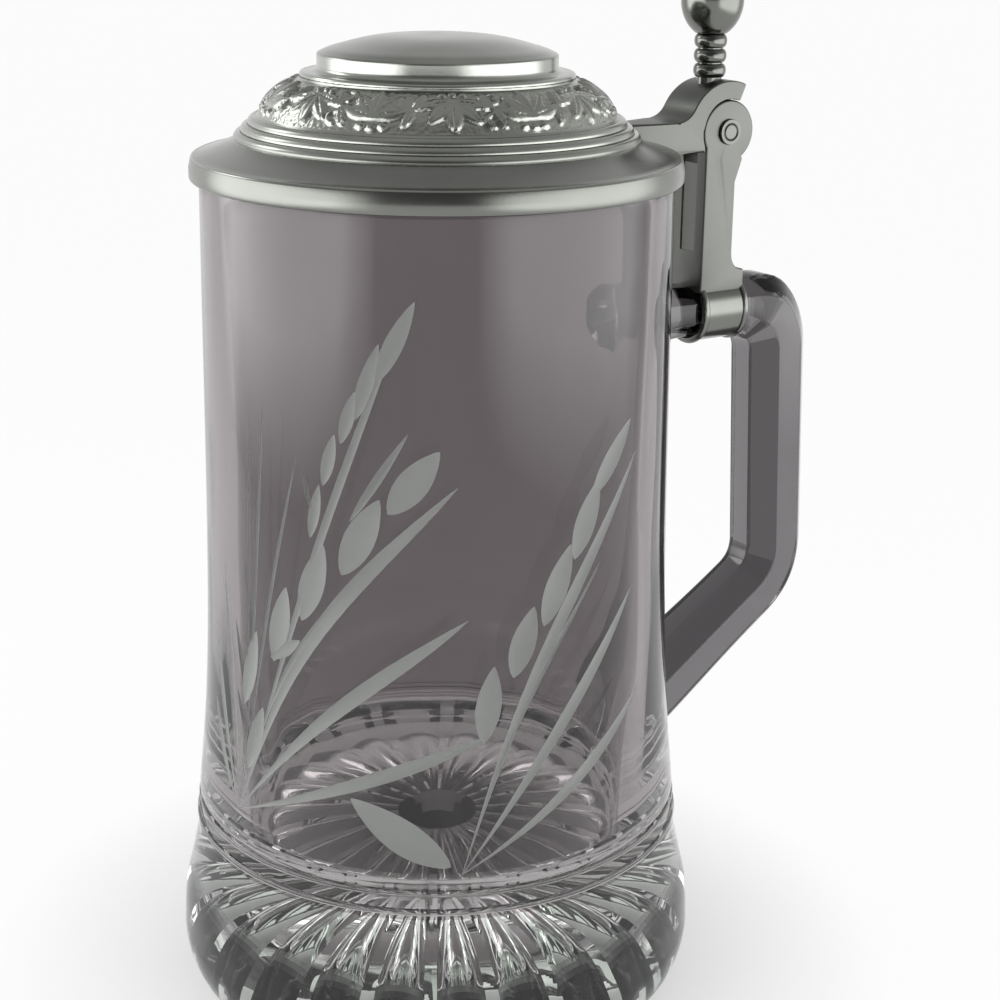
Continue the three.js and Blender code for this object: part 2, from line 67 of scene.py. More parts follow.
# Hollow under the foot, with the petals of a star pressed into it between narrow ribs
UNDER_RADIUS = 46
UNDER_HEIGHT = 20
UNDER_STEPS = 40
PETAL_COUNT = 22
PETAL_COLUMNS = 18
PETAL_SHARE = 14 / PETAL_COLUMNS
PETAL_DEPTH = 2.4
PETAL_RISE = 5
BUTTON_RADIUS = 5
BUTTON_SPREAD = 3
BUTTON_EDGE = 0.2
STAR_RUN_OUT = 6
# Painted shade in the star: a dark tint and less clear glass on the button, on the petals' inner and outer
# ends and a little along them, none on the ribs
PETAL_SHADE = 0.9
PETAL_SHADE_REACH = 0.66
PETAL_MIDDLE_SHADE = 0.4
PETAL_SHADE_CLEARNESS = 0.1
SHADE_CLEARNESS_START = 0.5
PETAL_END_START = 0.72
PETAL_END_FULL = 0.88
CLEAR_TOP = SHOULDER_HEIGHT - RIDGE_DROPS[0] - 2 * RIDGE_RADIUS
BODY_SEGMENTS = PETAL_COUNT * PETAL_COLUMNS
FLANK_DROP = 16
FLANK_RADIUS = 50.4
FLANK_FULLNESS = 0.75

# Glass handle
ARM_HEIGHT = RIM_TOP - 33.5
ARM_WIDTH = 10.6
UPPER_ROOT_WIDTH = 14
GRIP_WIDTH = 15
ROOT_WIDTH = 17
GRIP_REACH = RIM_RADIUS + 41.4
GRIP_LEAN = 2.3
GRIP_SWELL_LENGTH = 8
ROOT_SPREAD_LENGTH = 41
UPPER_BEND = 8.5
UPPER_BEND_DROP = 11
BEND_PULL = 0.55
LOWER_CORNER = SHOULDER_HEIGHT + 28
LOWER_BEND = 7.5
HANDLE_SIDES = 8
HANDLE_EDGE = 0.9
WELD_DEPTH = 2.2
# Painted shade on the handle: facets that face this way get its dark tint
PAINTED_SHADE_FACETS = (-0.75, -0.6, 0.45)
PAINTED_SHADE_FACING = (0.7, 0.725)

# Pewter mount
PIN_REACH = RIM_RADIUS + 21.2
PIN_HEIGHT = RIM_TOP + 3.4
PIN_RADIUS = 2.1
PIN_HEAD_RADIUS = 2.6
PIN_HEAD_THICKNESS = 0.4
PIN_GROOVE = 0.25
PIN_GROOVE_SHARE = 0.62
SEAT_GAP = 0.3
RING_LENGTH = 11.6
RING_REACH = PIN_REACH + 0.4
RING_BORE = ARM_WIDTH / 2 / math.cos(math.pi / HANDLE_SIDES) + SEAT_GAP
RING_RADIUS = RING_BORE + 0.8
RING_BEAD = 0.35
RING_BEAD_LENGTH = 1.4
RING_BEAD_SINK = 0.1
EAR_RADIUS = 6.3
HINGE_WIDTH = 10.4
KNUCKLE_WIDTH = 4
KNUCKLE_RADIUS = 5.4
SHANK_INNER = PIN_REACH - EAR_RADIUS + 0.8
SHANK_DEPTH = 7.8
SHANK_SINK = 2.7
SHANK_END_INSET = 0.5
FLARE_RISE = 1.6
FLARE_HEIGHT = 4
FORK_ROOM = 2
CUT_OVERSHOOT = 1
STOP_DEPTH = 1.6
STOP_LENGTH = 4.5
STOP_DROP = 5.8
FLUTE_LINE_DEPTH = 0.25
METAL_EDGE = 0.45
CUT_EDGE = 0.05

# Pewter lid
SKIRT_RADIUS = RIM_RADIUS + 0.7
LID_RADIUS = SKIRT_RADIUS + 1.1
LID_BOTTOM = RIM_TOP - 1.5
BAND_TOP = LID_BOTTOM + 4.3
BAND_EDGE = 0.6
BAND_BULGE = 0.35
FLANGE_START = 0.3
FLANGE_BEND = (1.5, 1.2)
RIB_FOOT_RADIUS = LID_RADIUS - 8.4
RIB_FOOT = BAND_TOP + 2.9
FRIEZE_FOOT_RADIUS = RIB_FOOT_RADIUS - 4
FRIEZE_FOOT = RIB_FOOT + 4
FRIEZE_TOP_RADIUS = FRIEZE_FOOT_RADIUS - 8.2
FRIEZE_TOP = FRIEZE_FOOT + 6.9
FRIEZE_BULGE = 0.8
FRIEZE_INSET = 0.4
COLLAR_RADIUS = FRIEZE_TOP_RADIUS - 3.2
COLLAR_TOP = FRIEZE_TOP + 4
COLLAR_BEAD = 0.6
COLLAR_FILLET = 1.3
RIB_COUNT = 3
RIB_HALF_WIDTH = 0.92
RIB_PROUD = 0.6
LID_WALL = 2
SEAT_WIDTH = 5.5
SKIRT_EDGE = 0.3
DISC_EDGE = 0.7
DISC_SEAT_INSET = 0.05
DOME_RISE = 3.4
LID_SEGMENTS = 600

# Edge of the disc, as steps in and up, and its dome, as shares of its radius and its rise
DISC_ROUNDING = ((0, 0.05), (0.1, 0.35), (DISC_EDGE, DISC_EDGE))
DOME_CURVE = ((0.85, 0.28), (0.5, 0.8), (0, 1))

# Leaf scroll cast on the frieze: heights are shares of the relief's, places along it are shares of a wave
VINE_WAVES = 7
VINE_SWING = 2.3
VINE_WIDTH = 0.6
VINE_RISE = 0.85
FAN_PLACE = 0.25
FAN_ROOT = 0.9
LOBE_FULLNESS = 0.7
VEIN_DEPTH = 0.45
VEIN_WIDTH = 0.16
BERRY_STEP = 1.9
BERRY_OUT = 4.3
BERRY_BOW = 0.35
BERRY_RADIUS = 0.85
BERRY_RISE = 0.9
CURL_PLACE = 0.49
CURL_DROP = 2.6
CURL_RADIUS = 1.3
CURL_WIDTH = 0.5
CURL_RISE = 0.8
BORDER_SHARE = 0.06
RELIEF_HEIGHT = 0.6
GROUND_SINK = 0.12
GROUND_STEEPNESS = 16
STIPPLE_DEPTH = 14
FRIEZE_ROWS = 44
FRIEZE_WIDTH = FRIEZE_FOOT_RADIUS - FRIEZE_TOP_RADIUS
FRIEZE_MIDDLE_RADIUS = (FRIEZE_FOOT_RADIUS + FRIEZE_TOP_RADIUS) / 2

# Leaf fan on each bend of the scroll: the lean, length and width of its lobes
FAN = ((-165, 6, 3), (-128, 6.8, 3.1), (-90, 7, 3.2), (-52, 6.8, 3.1), (-15, 6, 3))

# Small leaves where the scroll crosses the middle of the frieze
SPRIG = ((70, 4.6, 2), (20, 4.2, 1.8), (-110, 4.6, 2), (-160, 4.2, 1.8))

# Age and painted light on the lid: patina and painted shade above 0, polish and a painted sheen below it,
# and how far its borders may be off
GROUND_PATINA = -0.05
CREST_POLISH = -0.1
FLANGE_PAINTED_SHADE = 0.42
BAND_PAINTED_SHADE = 0.6
COLLAR_PAINTED_SHEEN = -0.3
FRIEZE_MARGIN = 0.02
RELIEF_SLACK = 0.6
FLANGE_SLACK = 0.02
BAND_SLACK = 0.1
BAND_DROP = 0.3

# Tang and thumblift
TANG_TIP = LID_RADIUS - 3.2
TANG_TIP_WIDTH = 5.6
TANG_BOTTOM = PIN_HEIGHT - 3.8
TANG_TOP = PIN_HEIGHT + 2.4
SADDLE_WALL = 3.5
SADDLE_RADIUS = EAR_RADIUS + SEAT_GAP + SADDLE_WALL
SADDLE_START = 66
SADDLE_END = 150
WEB_EDGE = 0.1
PIN_PLAY = 0.08
STEM_REACH = PIN_REACH - 1.6
STEM_LENGTH = 15.3
STEM_RADIUS = 2.5
STEM_SINK = 0.9
BEAD_PROUD = 0.8
BEAD_HALF_HEIGHT = 1.35
BEAD_COUNT = 3
BALL_RADIUS = 6.3
BALL_DROP = 7.6
BALL_NECK_ANGLE = -60

# View of the photograph: the camera stands off the vessel's axis, the handle points right and away from it
CAMERA_DISTANCE = 356.4
CAMERA_HEIGHT = 215.2
CAMERA_PITCH = math.radians(18.155)
CAMERA_YAW = math.radians(1.99)
CAMERA_ROLL = math.radians(0.7)
CAMERA_LENS = 68.4
HANDLE_TURN = math.radians(31)
FRONT_ANGLE = -math.pi / 2 - HANDLE_TURN
RIGHT = Vector((math.cos(HANDLE_TURN), -math.sin(HANDLE_TURN), 0))
AWAY = Vector((math.sin(HANDLE_TURN), math.cos(HANDLE_TURN), 0))
UP = Vector((0, 0, 1))

# Studio: a floor that glows towards white away from the foot, leaving a painted shadow round it, and a world
# dimmer overhead and in front
FLOOR_REACH = 6000
FLOOR_GLOW = 0.95
PAINTED_SHADOW_REACH = (0.012, 0.095)
HORIZON_LIGHT = 0.95
OVERHEAD_LIGHT = 0.4
OVERHEAD_RANGE = (0.1, 0.75)
FRONT_LIGHT = 0.2
FRONT_RANGE = (0.3, 0.85)
FRONT_TURN = 0.1

# Soft panels: turn from the camera in degrees, distance, height, width and height of the panel, and watts
SOFTBOXES = {
    "left_softbox": (-76, 0.36, 0.15, (0.8, 0.3), 1.9),
    "right_softbox": (66, 0.36, 0.15, (0.8, 0.3), 1.5),
    "upper_left_softbox": (-117, 0.45, 0.4, (0.2, 0.2), 0.45),
}
PANEL_EDGE = 0.22
PANEL_AIM = Vector((0, 0, 0.1))

# Surface patterns: how many go in a metre, and how strong they are
SMEAR_FINENESS = 28
SMEAR_ROUGHNESS = 0.012
WAVE_FINENESS = 42
WAVE_STRENGTH = 0.1
WAVE_DEPTH = 0.0005
WALL_WAVE_DEPTH = 0.006
WALL_STREAK = 5
FROST_CLOUD_FINENESS = 90
FROST_GRAIN_FINENESS = 1400
PEWTER_CLOUD_FINENESS = 55
PEWTER_GRAIN_FINENESS = 1500
STIPPLE_FINENESS = 1100
SATIN_SPREAD = (-0.05, 0.07)
PATINA_AND_SHADE_DARKNESS = 0.35
FLECK_FINENESS = 12

# Cut leaves: degrees round the glass from the front, and heights
LEAF_DEPTH = 0.5
BLADE_DEPTH = 0.35
LEAF_SWELL = 0.9
BLADE_SWELL = 1.6
LEAF_TIP = 0.04
LEAF_FULLNESS = 0.8
LEAF_ACROSS = (-1.25, -1, -0.66, -0.33, 0, 0.33, 0.66, 1, 1.25)
CUTTER_PROUD = 0.8
LEFT_ROOT = (-52, 46)
RIGHT_ROOT = (5.5, 42)

# Each blade springs from its spray's root: where its tip is, its width and how far it bows
LEFT_BLADES = [
    ((4.5, 115), 2.7, 6),
    ((-3, 108), 1.2, 6.5),
    ((7, 90.5), 2.7, 3),
    ((12.5, 68.5), 2.5, 0.5),
    ((-7, 146), 1.5, 1),
    ((-33.5, 118.5), 0.8, 1.2),
    ((-43.5, 127.5), 0.8, 0),
    ((-48.5, 123), 0.7, 0),
    ((-61.5, 93), 1.6, 0),
    ((-67, 79.5), 1.8, 1),
    ((-67, 65), 1.8, 1),
]
RIGHT_BLADES = [
    ((53.5, 116.5), 2.4, 4.4),
    ((41.5, 98.5), 1, 3.4),
    ((52.5, 90.5), 2.4, 0.8),
    ((56, 70), 2.3, -0.7),
]

# Each free leaf: its base, its tip and its width
LEAVES = [
    ((-14, 133), (-5, 147.5), 3.2),
    ((-18.5, 126.5), (-13, 140), 2.8),
    ((-22, 122), (-18.5, 131.5), 2.4),
    ((-26.5, 114), (-23.5, 123.5), 2.4),
    ((-30, 104), (-27.5, 114), 2.2),
    ((-29.5, 109), (-32, 116), 0.8),
    ((-11, 110), (0.5, 121.5), 5.4),
    ((-20, 108), (-6.5, 124.5), 1.6),
    ((-22, 98), (-13, 112.5), 5.4),
    ((-32.5, 88), (-26.5, 103), 4.8),
    ((-41, 78.5), (-37, 93.5), 4.4),
    ((-42, 79), (-33, 84), 2.6),
    ((-51.5, 67.5), (-47, 83), 3.6),
    ((-49.5, 55), (-44.5, 68.5), 3.6),
    ((38, 110.5), (51, 123), 3.8),
    ((33, 99.5), (40, 113.5), 4.6),
    ((25, 88), (32, 102.5), 4.6),
    ((17.5, 79), (22.5, 92), 4.6),
    ((10.5, 67), (13, 81.5), 4.4),
    ((3, 43.5), (-19.5, 55.5), 6.2),
]


# Helpers for curves and meshes

def arc(centre_r, centre_z, radius_r, radius_z, start, end, steps):
    """Points on an elliptic arc in the section plane, angles in degrees."""
    angles = np.radians(np.linspace(start, end, steps + 1))
    return [(centre_r + radius_r * math.cos(a), centre_z + radius_z * math.sin(a)) for a in angles]


def smooth_line(points, steps):
    """Points on a smooth curve through the given ones, with that many steps between each two."""
    known = [np.array(p, float) for p in points]
    known = [2 * known[0] - known[1], *known, 2 * known[-1] - known[-2]]
    line = []
    for a, b, c, d in zip(known, known[1:], known[2:], known[3:]):
        for t in np.arange(steps) / steps:
            bend = (c - a) + (2 * a - 5 * b + 4 * c - d) * t + (3 * (b - c) + d - a) * t * t
            line.append(tuple(b + 0.5 * t * bend))
    return line + [tuple(known[-2])]


def bezier(controls, steps):
    """Points on the curve that a few control points pull."""
    line = []
    for t in np.linspace(0, 1, steps + 1):
        level = [np.array(c, float) for c in controls]
        while len(level) > 1:
            level = [(1 - t) * a + t * b for a, b in zip(level, level[1:])]
        line.append(tuple(level[0]))
    return line


def ease(value, start, end):
    """A smooth step from 0 at the start to 1 at the end."""
    share = np.clip((value - start) / (end - start), 0, 1)
    return share * share * (3 - 2 * share)


def dome(off, width):
    """Height of a round hump by the distance from its middle, 1 there and 0 from the width on."""
    return np.sqrt(np.clip(1 - (off / width) ** 2, 0, 1))


def new_piece(name, vertices, faces):
    """An object in metres from vertices in millimetres, its doubled points joined, its faces turned out."""
    mesh = bpy.data.meshes.new(name)
    mesh.from_pydata((np.asarray(vertices, float) * MM).tolist(), [], [list(f) for f in faces])
    work = bmesh.new()
    work.from_mesh(mesh)
    bmesh.ops.remove_doubles(work, verts=work.verts, dist=1e-7)
    bmesh.ops.recalc_face_normals(work, faces=work.faces)
    work.to_mesh(mesh)
    work.free()
    piece = bpy.data.objects.new(name, mesh)
    bpy.context.scene.collection.objects.link(piece)
    return piece


def lathe(name, section, segments, shape=None, loop=False):
    """A turned piece about the vertical axis; shape may change each point's radius, height and angle."""
    section = np.array(section, float)
    angles = np.linspace(0, 2 * math.pi, segments, endpoint=False)
    radius, angle = np.meshgrid(section[:, 0], angles, indexing="ij")
    height = np.repeat(section[:, 1:], segments, axis=1)
    if shape:
        radius, height, angle = shape(radius, height, angle)
    places = np.stack([radius * np.cos(angle), radius * np.sin(angle), height], -1).reshape(-1, 3)
    rows = len(section)
    faces = []
    for row in range(rows if loop else rows - 1):
        here = row * segments
        above = (row + 1) % rows * segments
        for k in range(segments):
            after = (k + 1) % segments
            faces.append((here + k, here + after, above + after, above + k))
    return new_piece(name, places, faces)


def plate(name, outline, width, edge, narrow=None):
    """A plate with that outline in the X-Z plane, centred on Y = 0, its rims rounded off."""
    count = len(outline)
    sides = [[(x, y, z) for x, z in outline] for y in (-width / 2, width / 2)]
    places = np.array(sides[0] + sides[1])
    if narrow:
        places[:, 1] *= narrow(places[:, 0])
    faces = [range(count), range(count, 2 * count)]
    for k in range(count):
        after = (k + 1) % count
        faces.append((k, after, count + after, count + k))
    piece = new_piece(name, places, faces)
    work = bmesh.new()
    work.from_mesh(piece.data)
    rims = [e for e in work.edges if e.calc_face_angle(0) > math.radians(40)]
    bmesh.ops.bevel(work, geom=rims, offset=edge * MM, segments=3, profile=0.6, affect="EDGES")
    work.to_mesh(piece.data)
    work.free()
    return piece


def round_bar(name, radius, width, edge, segments=96):
    """A round bar about the vertical axis with rounded rims."""
    half = width / 2
    section = [
        (0, -half),
        *arc(radius - edge, -half + edge, edge, edge, -90, 0, 4),
        *arc(radius - edge, half - edge, edge, edge, 0, 90, 4),
        (0, half),
    ]
    return lathe(name, section, segments)


def bar_along_y(radius, width, edge=0.01):
    """A round bar through the hinge."""
    bar = round_bar("bar", radius, width, edge)
    bar.data.transform(Matrix.Rotation(math.pi / 2, 4, "X"))
    bar.data.transform(Matrix.Translation((PIN_REACH * MM, 0, PIN_HEIGHT * MM)))
    return bar


def combine(piece, tool, operation):
    """Adds, cuts or meets two closed pieces and drops the tool."""
    step = piece.modifiers.new("step", "BOOLEAN")
    step.operation = operation
    step.solver = "MANIFOLD"
    step.object = tool
    bpy.context.view_layer.update()
    result = bpy.data.meshes.new_from_object(piece.evaluated_get(bpy.context.evaluated_depsgraph_get()))
    piece.modifiers.clear()
    piece.data = result
    bpy.data.objects.remove(tool)
    return piece


def dress(piece, materials, index=0):
    """Gives a piece its material slots, and all its faces one of them."""
    piece.data.materials.clear()
    for material in materials:
        piece.data.materials.append(material)
    piece.data.polygons.foreach_set("material_index", [index] * len(piece.data.polygons))
    return piece


def soften(piece, angle=35):
    """Smooth shading with sharp lines where faces meet at more than that angle."""
    piece.data.shade_smooth()
    piece.data.set_sharp_from_angle(angle=math.radians(angle))
    return piece


def sharpen_borders(mesh):
    """Sharp lines wherever two materials meet."""
    material = np.zeros(len(mesh.polygons), int)
    mesh.polygons.foreach_get("material_index", material)
    corners = np.zeros(len(mesh.polygons), int)
    mesh.polygons.foreach_get("loop_total", corners)
    edge = np.zeros(len(mesh.loops), int)
    mesh.loops.foreach_get("edge_index", edge)
    beside = np.repeat(material, corners)
    low = np.full(len(mesh.edges), len(mesh.materials))
    high = np.full(len(mesh.edges), -1)
    np.minimum.at(low, edge, beside)
    np.maximum.at(high, edge, beside)
    sharp = np.zeros(len(mesh.edges), bool)
    mesh.edges.foreach_get("use_edge_sharp", sharp)
    mesh.edges.foreach_set("use_edge_sharp", sharp | (low != high))


def settle(piece, body, slot, materials, *nodes):
    """Hands a finished piece its materials, its body and the nodes that it stands for; its slot is not used.
    """
    if materials:
        dress(piece, materials)
    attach(piece, body)
    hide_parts(*nodes)
    return piece


# Materials

def new_material(name):
    """A node material with its nodes, links and main shader."""
    material = bpy.data.materials.new(name)
    material.use_nodes = True
    nodes = material.node_tree.nodes
    return material, nodes, material.node_tree.links, nodes["Principled BSDF"]


def noise_node(nodes, links, scale, detail=4, stretch=1):
    """Noise in the piece's own space, drawn out upwards by the stretch."""
    place = nodes.new("ShaderNodeTexCoord")
    grid = nodes.new("ShaderNodeMapping")
    grid.inputs["Scale"].default_value = (1, 1, 1 / stretch)
    noise = nodes.new("ShaderNodeTexNoise")
    noise.inputs["Scale"].default_value = scale
    noise.inputs["Detail"].default_value = detail
    links.new(place.outputs["Object"], grid.inputs["Vector"])
    links.new(grid.outputs["Vector"], noise.inputs["Vector"])
    return noise


def spread(nodes, links, source, low, high, start=0.3, end=0.7):
    """Maps a value from its own range to that of a socket."""
    span = nodes.new("ShaderNodeMapRange")
    span.inputs["From Min"].default_value = start
    span.inputs["From Max"].default_value = end
    span.inputs["To Min"].default_value = low
    span.inputs["To Max"].default_value = high
    links.new(source, span.inputs["Value"])
    return span.outputs["Result"]


def blend_colours(nodes, links, share, low, high):
    """A node that blends two colours by a share from 0 to 1."""
    blend = nodes.new("ShaderNodeMix")
    blend.data_type = "RGBA"
    blend.inputs["A"].default_value = (*low, 1)
    blend.inputs["B"].default_value = (*high, 1)
    links.new(share, blend.inputs["Factor"])
    return blend


def reckon(nodes, links, operation, *sources):
    """The result of one step of arithmetic on the given values."""
    step = nodes.new("ShaderNodeMath")
    step.operation = operation
    for slot, source in enumerate(sources):
        links.new(source, step.inputs[slot])
    return step.outputs["Value"]


def mesh_value(nodes, name):
    """A value that the piece's own mesh carries."""
    attribute = nodes.new("ShaderNodeAttribute")
    attribute.attribute_name = name
    return attribute.outputs["Fac"]


def bump_from(nodes, links, source, strength, distance):
    """Normals that follow a pattern as if it were relief."""
    bump = nodes.new("ShaderNodeBump")
    bump.inputs["Strength"].default_value = strength
    bump.inputs["Distance"].default_value = distance
    links.new(source, bump.inputs["Height"])
    return bump.outputs["Normal"]


def glass_material(name, tint, shaded_tint=None, shaded_clearness=1, wave=WAVE_DEPTH, stretch=1):
    """Clear, faintly wavy glass with the odd smear, darkened by painted shade and less clear where its shade
    attribute says.
    """
    material, nodes, links, shader = new_material(name)
    shader.inputs["Base Color"].default_value = (*tint, 1)
    if shaded_tint:
        # Painted shade: the shade attribute darkens the tint and lowers the clearness
        shade = mesh_value(nodes, "shade")
        blend = blend_colours(nodes, links, shade, tint, shaded_tint)
        links.new(blend.outputs["Result"], shader.inputs["Base Color"])
        clear = spread(nodes, links, shade, 1, shaded_clearness, SHADE_CLEARNESS_START, 1)
        links.new(clear, shader.inputs["Transmission Weight"])
    shader.inputs["Transmission Weight"].default_value = 1
    shader.inputs["IOR"].default_value = 1.5
    smear = noise_node(nodes, links, SMEAR_FINENESS)
    links.new(spread(nodes, links, smear.outputs["Fac"], 0, SMEAR_ROUGHNESS), shader.inputs["Roughness"])
    waves = noise_node(nodes, links, WAVE_FINENESS, 2, stretch)
    links.new(bump_from(nodes, links, waves.outputs["Fac"], WAVE_STRENGTH, wave), shader.inputs["Normal"])
    return material


def frosted_material():
    """Ground glass of the cut leaves, with the fine strokes of the wheel."""
    material, nodes, links, shader = new_material("frosted_cut")
    shader.inputs["Roughness"].default_value = 0.75
    shader.inputs["IOR"].default_value = 1.5
    shader.inputs["Transmission Weight"].default_value = 0.25
    grain = noise_node(nodes, links, FROST_GRAIN_FINENESS, 2)
    cloud = noise_node(nodes, links, FROST_CLOUD_FINENESS, 3)
    blend = blend_colours(nodes, links, cloud.outputs["Fac"], (0.27, 0.28, 0.27), (0.37, 0.383, 0.37))
    links.new(blend.outputs["Result"], shader.inputs["Base Color"])
    links.new(bump_from(nodes, links, grain.outputs["Fac"], 0.35, 0.00008), shader.inputs["Normal"])
    return material


def pewter_material(name, bright, dark, rough):
    """Satin cast pewter: a cloudy skin, a fine grain, and the patina and painted shade of its attribute
    above 0, with polish and a painted sheen below 0.
    """
    material, nodes, links, shader = new_material(name)
    shader.inputs["Metallic"].default_value = 1
    cloud = noise_node(nodes, links, PEWTER_CLOUD_FINENESS, 6)
    skin = blend_colours(nodes, links, spread(nodes, links, cloud.outputs["Fac"], 0, 1), dark, bright)
    patina_and_shade_tone = [PATINA_AND_SHADE_DARKNESS * c for c in dark]
    aged_and_lit = blend_colours(nodes, links, mesh_value(nodes, "patina_and_painted_light"), bright, patina_and_shade_tone)
    aged_and_lit.clamp_factor = False
    links.new(skin.outputs["Result"], aged_and_lit.inputs["A"])
    links.new(aged_and_lit.outputs["Result"], shader.inputs["Base Color"])
    satin = spread(nodes, links, cloud.outputs["Fac"], *(rough + s for s in SATIN_SPREAD))
    links.new(satin, shader.inputs["Roughness"])
    grain = noise_node(nodes, links, PEWTER_GRAIN_FINENESS, 3)
    dots = nodes.new("ShaderNodeTexVoronoi")
    dots.inputs["Scale"].default_value = STIPPLE_FINENESS
    place = nodes.new("ShaderNodeTexCoord")
    links.new(place.outputs["Object"], dots.inputs["Vector"])
    punched = spread(nodes, links, mesh_value(nodes, "stipple"), 0, STIPPLE_DEPTH, 0, 1)
    depth = reckon(nodes, links, "MULTIPLY_ADD", dots.outputs["Distance"], punched, grain.outputs["Fac"])
    links.new(bump_from(nodes, links, depth, 0.2, 0.00004), shader.inputs["Normal"])
    return material


def floor_material():
    """Smooth pale card."""
    material, nodes, links, shader = new_material("pale_floor")
    shader.inputs["Roughness"].default_value = 0.8
    fleck = noise_node(nodes, links, FLECK_FINENESS)
    shade = blend_colours(nodes, links, fleck.outputs["Fac"], (0.9, 0.9, 0.9), (0.93, 0.93, 0.93))
    links.new(shade.outputs["Result"], shader.inputs["Base Color"])
    seen = whiten(nodes, links, shader)
    links.new(seen, nodes["Material Output"].inputs["Surface"])
    return material


def whiten(nodes, links, shader):
    """Lifts the floor towards white where it is seen, also in metal or through glass, but fades the lift out
    near the foot into a painted shadow; its real shadow stays.
    """
    ray = nodes.new("ShaderNodeLightPath")
    rays = [ray.outputs["Is " + kind + " Ray"] for kind in ("Camera", "Glossy", "Transmission")]
    share = rays[0]
    for other in rays[1:]:
        share = reckon(nodes, links, "MAXIMUM", share, other)
    glow = nodes.new("ShaderNodeEmission")
    glow.inputs["Strength"].default_value = 1
    blend = nodes.new("ShaderNodeMixShader")
    place = nodes.new("ShaderNodeTexCoord")
    reach = nodes.new("ShaderNodeVectorMath")
    reach.operation = "LENGTH"
    links.new(place.outputs["Object"], reach.inputs[0])
    # The glow fades out towards the foot: a painted shadow round the stein
    clear = spread(nodes, links, reach.outputs["Value"], 0, FLOOR_GLOW, *PAINTED_SHADOW_REACH)
    links.new(reckon(nodes, links, "MULTIPLY", share, clear), blend.inputs["Fac"])
    links.new(shader.outputs["BSDF"], blend.inputs[1])
    links.new(glow.outputs["Emission"], blend.inputs[2])
    return blend.outputs["Shader"]


# Glass body

def outer_side(steps=9):
    """The wall's outline from the shoulder to the rim."""
    return smooth_line([
        (SHOULDER_RADIUS, SHOULDER_HEIGHT),
        ((SHOULDER_RADIUS + WAIST_RADIUS) / 2 - SIDE_HOLLOW,
         (SHOULDER_HEIGHT + WAIST_HEIGHT) / 2 - SIDE_HOLLOW_DROP),
        (WAIST_RADIUS, WAIST_HEIGHT),
        (RIM_RADIUS, RIM_TOP - WALL / 2),
    ], steps)


WALL_LINE = np.array(outer_side(40))


def wall_radius(height):
    """Outer radius of the plain wall at a height above the shoulder."""
    return np.interp(height, WALL_LINE[:, 1], WALL_LINE[:, 0])


def body_outline(steps=1):
    """The outer outline from the standing face to the rim."""
    foot = arc(FOOT_RADIUS - FOOT_ROUNDING, FOOT_WIDEST, FOOT_ROUNDING, FOOT_WIDEST, -90, 0, 30)
    taper = (FLANK_RADIUS - SHOULDER_RADIUS) / FLANK_DROP
    ridges = []
    for drop in RIDGE_DROPS:
        middle = SHOULDER_RADIUS + taper * drop - RIDGE_INSET
        ridges += arc(middle, SHOULDER_HEIGHT - drop, RIDGE_RADIUS, RIDGE_RADIUS, -90, 90, 8)
    flank = smooth_line([
        foot[-1],
        (FLANK_RADIUS + (FOOT_RADIUS - FLANK_RADIUS) * FLANK_FULLNESS,
         (FOOT_WIDEST + SHOULDER_HEIGHT - FLANK_DROP) / 2),
        (FLANK_RADIUS, SHOULDER_HEIGHT - FLANK_DROP),
        ridges[0],
    ], 12)
    return [*foot, *flank[1:-1], *ridges, *outer_side(9 * steps)]


def under_line():
    """The underside from the button in its middle, through the domed hollow, to the standing ring."""
    start = BUTTON_RADIUS + BUTTON_SPREAD
    share = np.sin(np.linspace(0, math.pi / 2, UNDER_STEPS + 1))
    radius = start + (UNDER_RADIUS - start) * share
    height = UNDER_HEIGHT * np.clip(1 - (radius / UNDER_RADIUS) ** 3, 0, 1) ** (2 / 3)
    return [(0, 0), (BUTTON_RADIUS, 0), (BUTTON_RADIUS + BUTTON_EDGE, BUTTON_EDGE), *zip(radius, height)]


def press_petals(radius, height, angle):
    """Presses the petals of the star into the hollow, square to its surface."""
    line = np.array(under_line())
    count = len(line)
    heading = np.gradient(line, axis=0)
    heading[:3] = (1, 0)
    heading[3] = heading[4]
    heading /= np.linalg.norm(heading, axis=1)[:, None]
    turn = angle[:count] / (2 * math.pi) * PETAL_COUNT
    across = (turn - np.round(turn)) * 2 / PETAL_SHARE
    inner = np.clip((line[:, :1] - BUTTON_RADIUS - BUTTON_SPREAD) / STAR_RUN_OUT, 0, 1)
    outer = np.clip(line[:, 1:] / PETAL_RISE, 0, 1)
    depth = PETAL_DEPTH * np.clip(1 - across ** 2, 0, 1) * inner * outer
    radius, height = radius.copy(), height.copy()
    radius[:count] -= depth * heading[:, 1:]
    height[:count] += depth * heading[:, :1]
    return radius, height, angle


def petal_shade(x, y, z):
    """Painted shade on the underside: on its button and its petals, most at their ends, but not on the ribs.
    """
    radius = np.hypot(x, y)
    start = BUTTON_RADIUS + BUTTON_SPREAD
    turn = np.arctan2(y, x) / (2 * math.pi) * PETAL_COUNT
    across = (turn - np.round(turn)) * 2 / PETAL_SHARE
    inner_end = PETAL_SHADE * (1 - ease(radius, start, PETAL_SHADE_REACH * UNDER_RADIUS))
    outer_end = ease(radius, PETAL_END_START * UNDER_RADIUS, PETAL_END_FULL * UNDER_RADIUS)
    along = np.maximum(np.maximum(inner_end, outer_end), PETAL_MIDDLE_SHADE)
    shade = np.where(np.abs(across) < 1, along, 0)
    shade = np.where(radius < start, np.where(z < BUTTON_EDGE / 2, 1, 0), shade)
    under = (radius < UNDER_RADIUS) & (z < UNDER_HEIGHT + 2 * PETAL_DEPTH)
    return np.where(under, shade, 0)


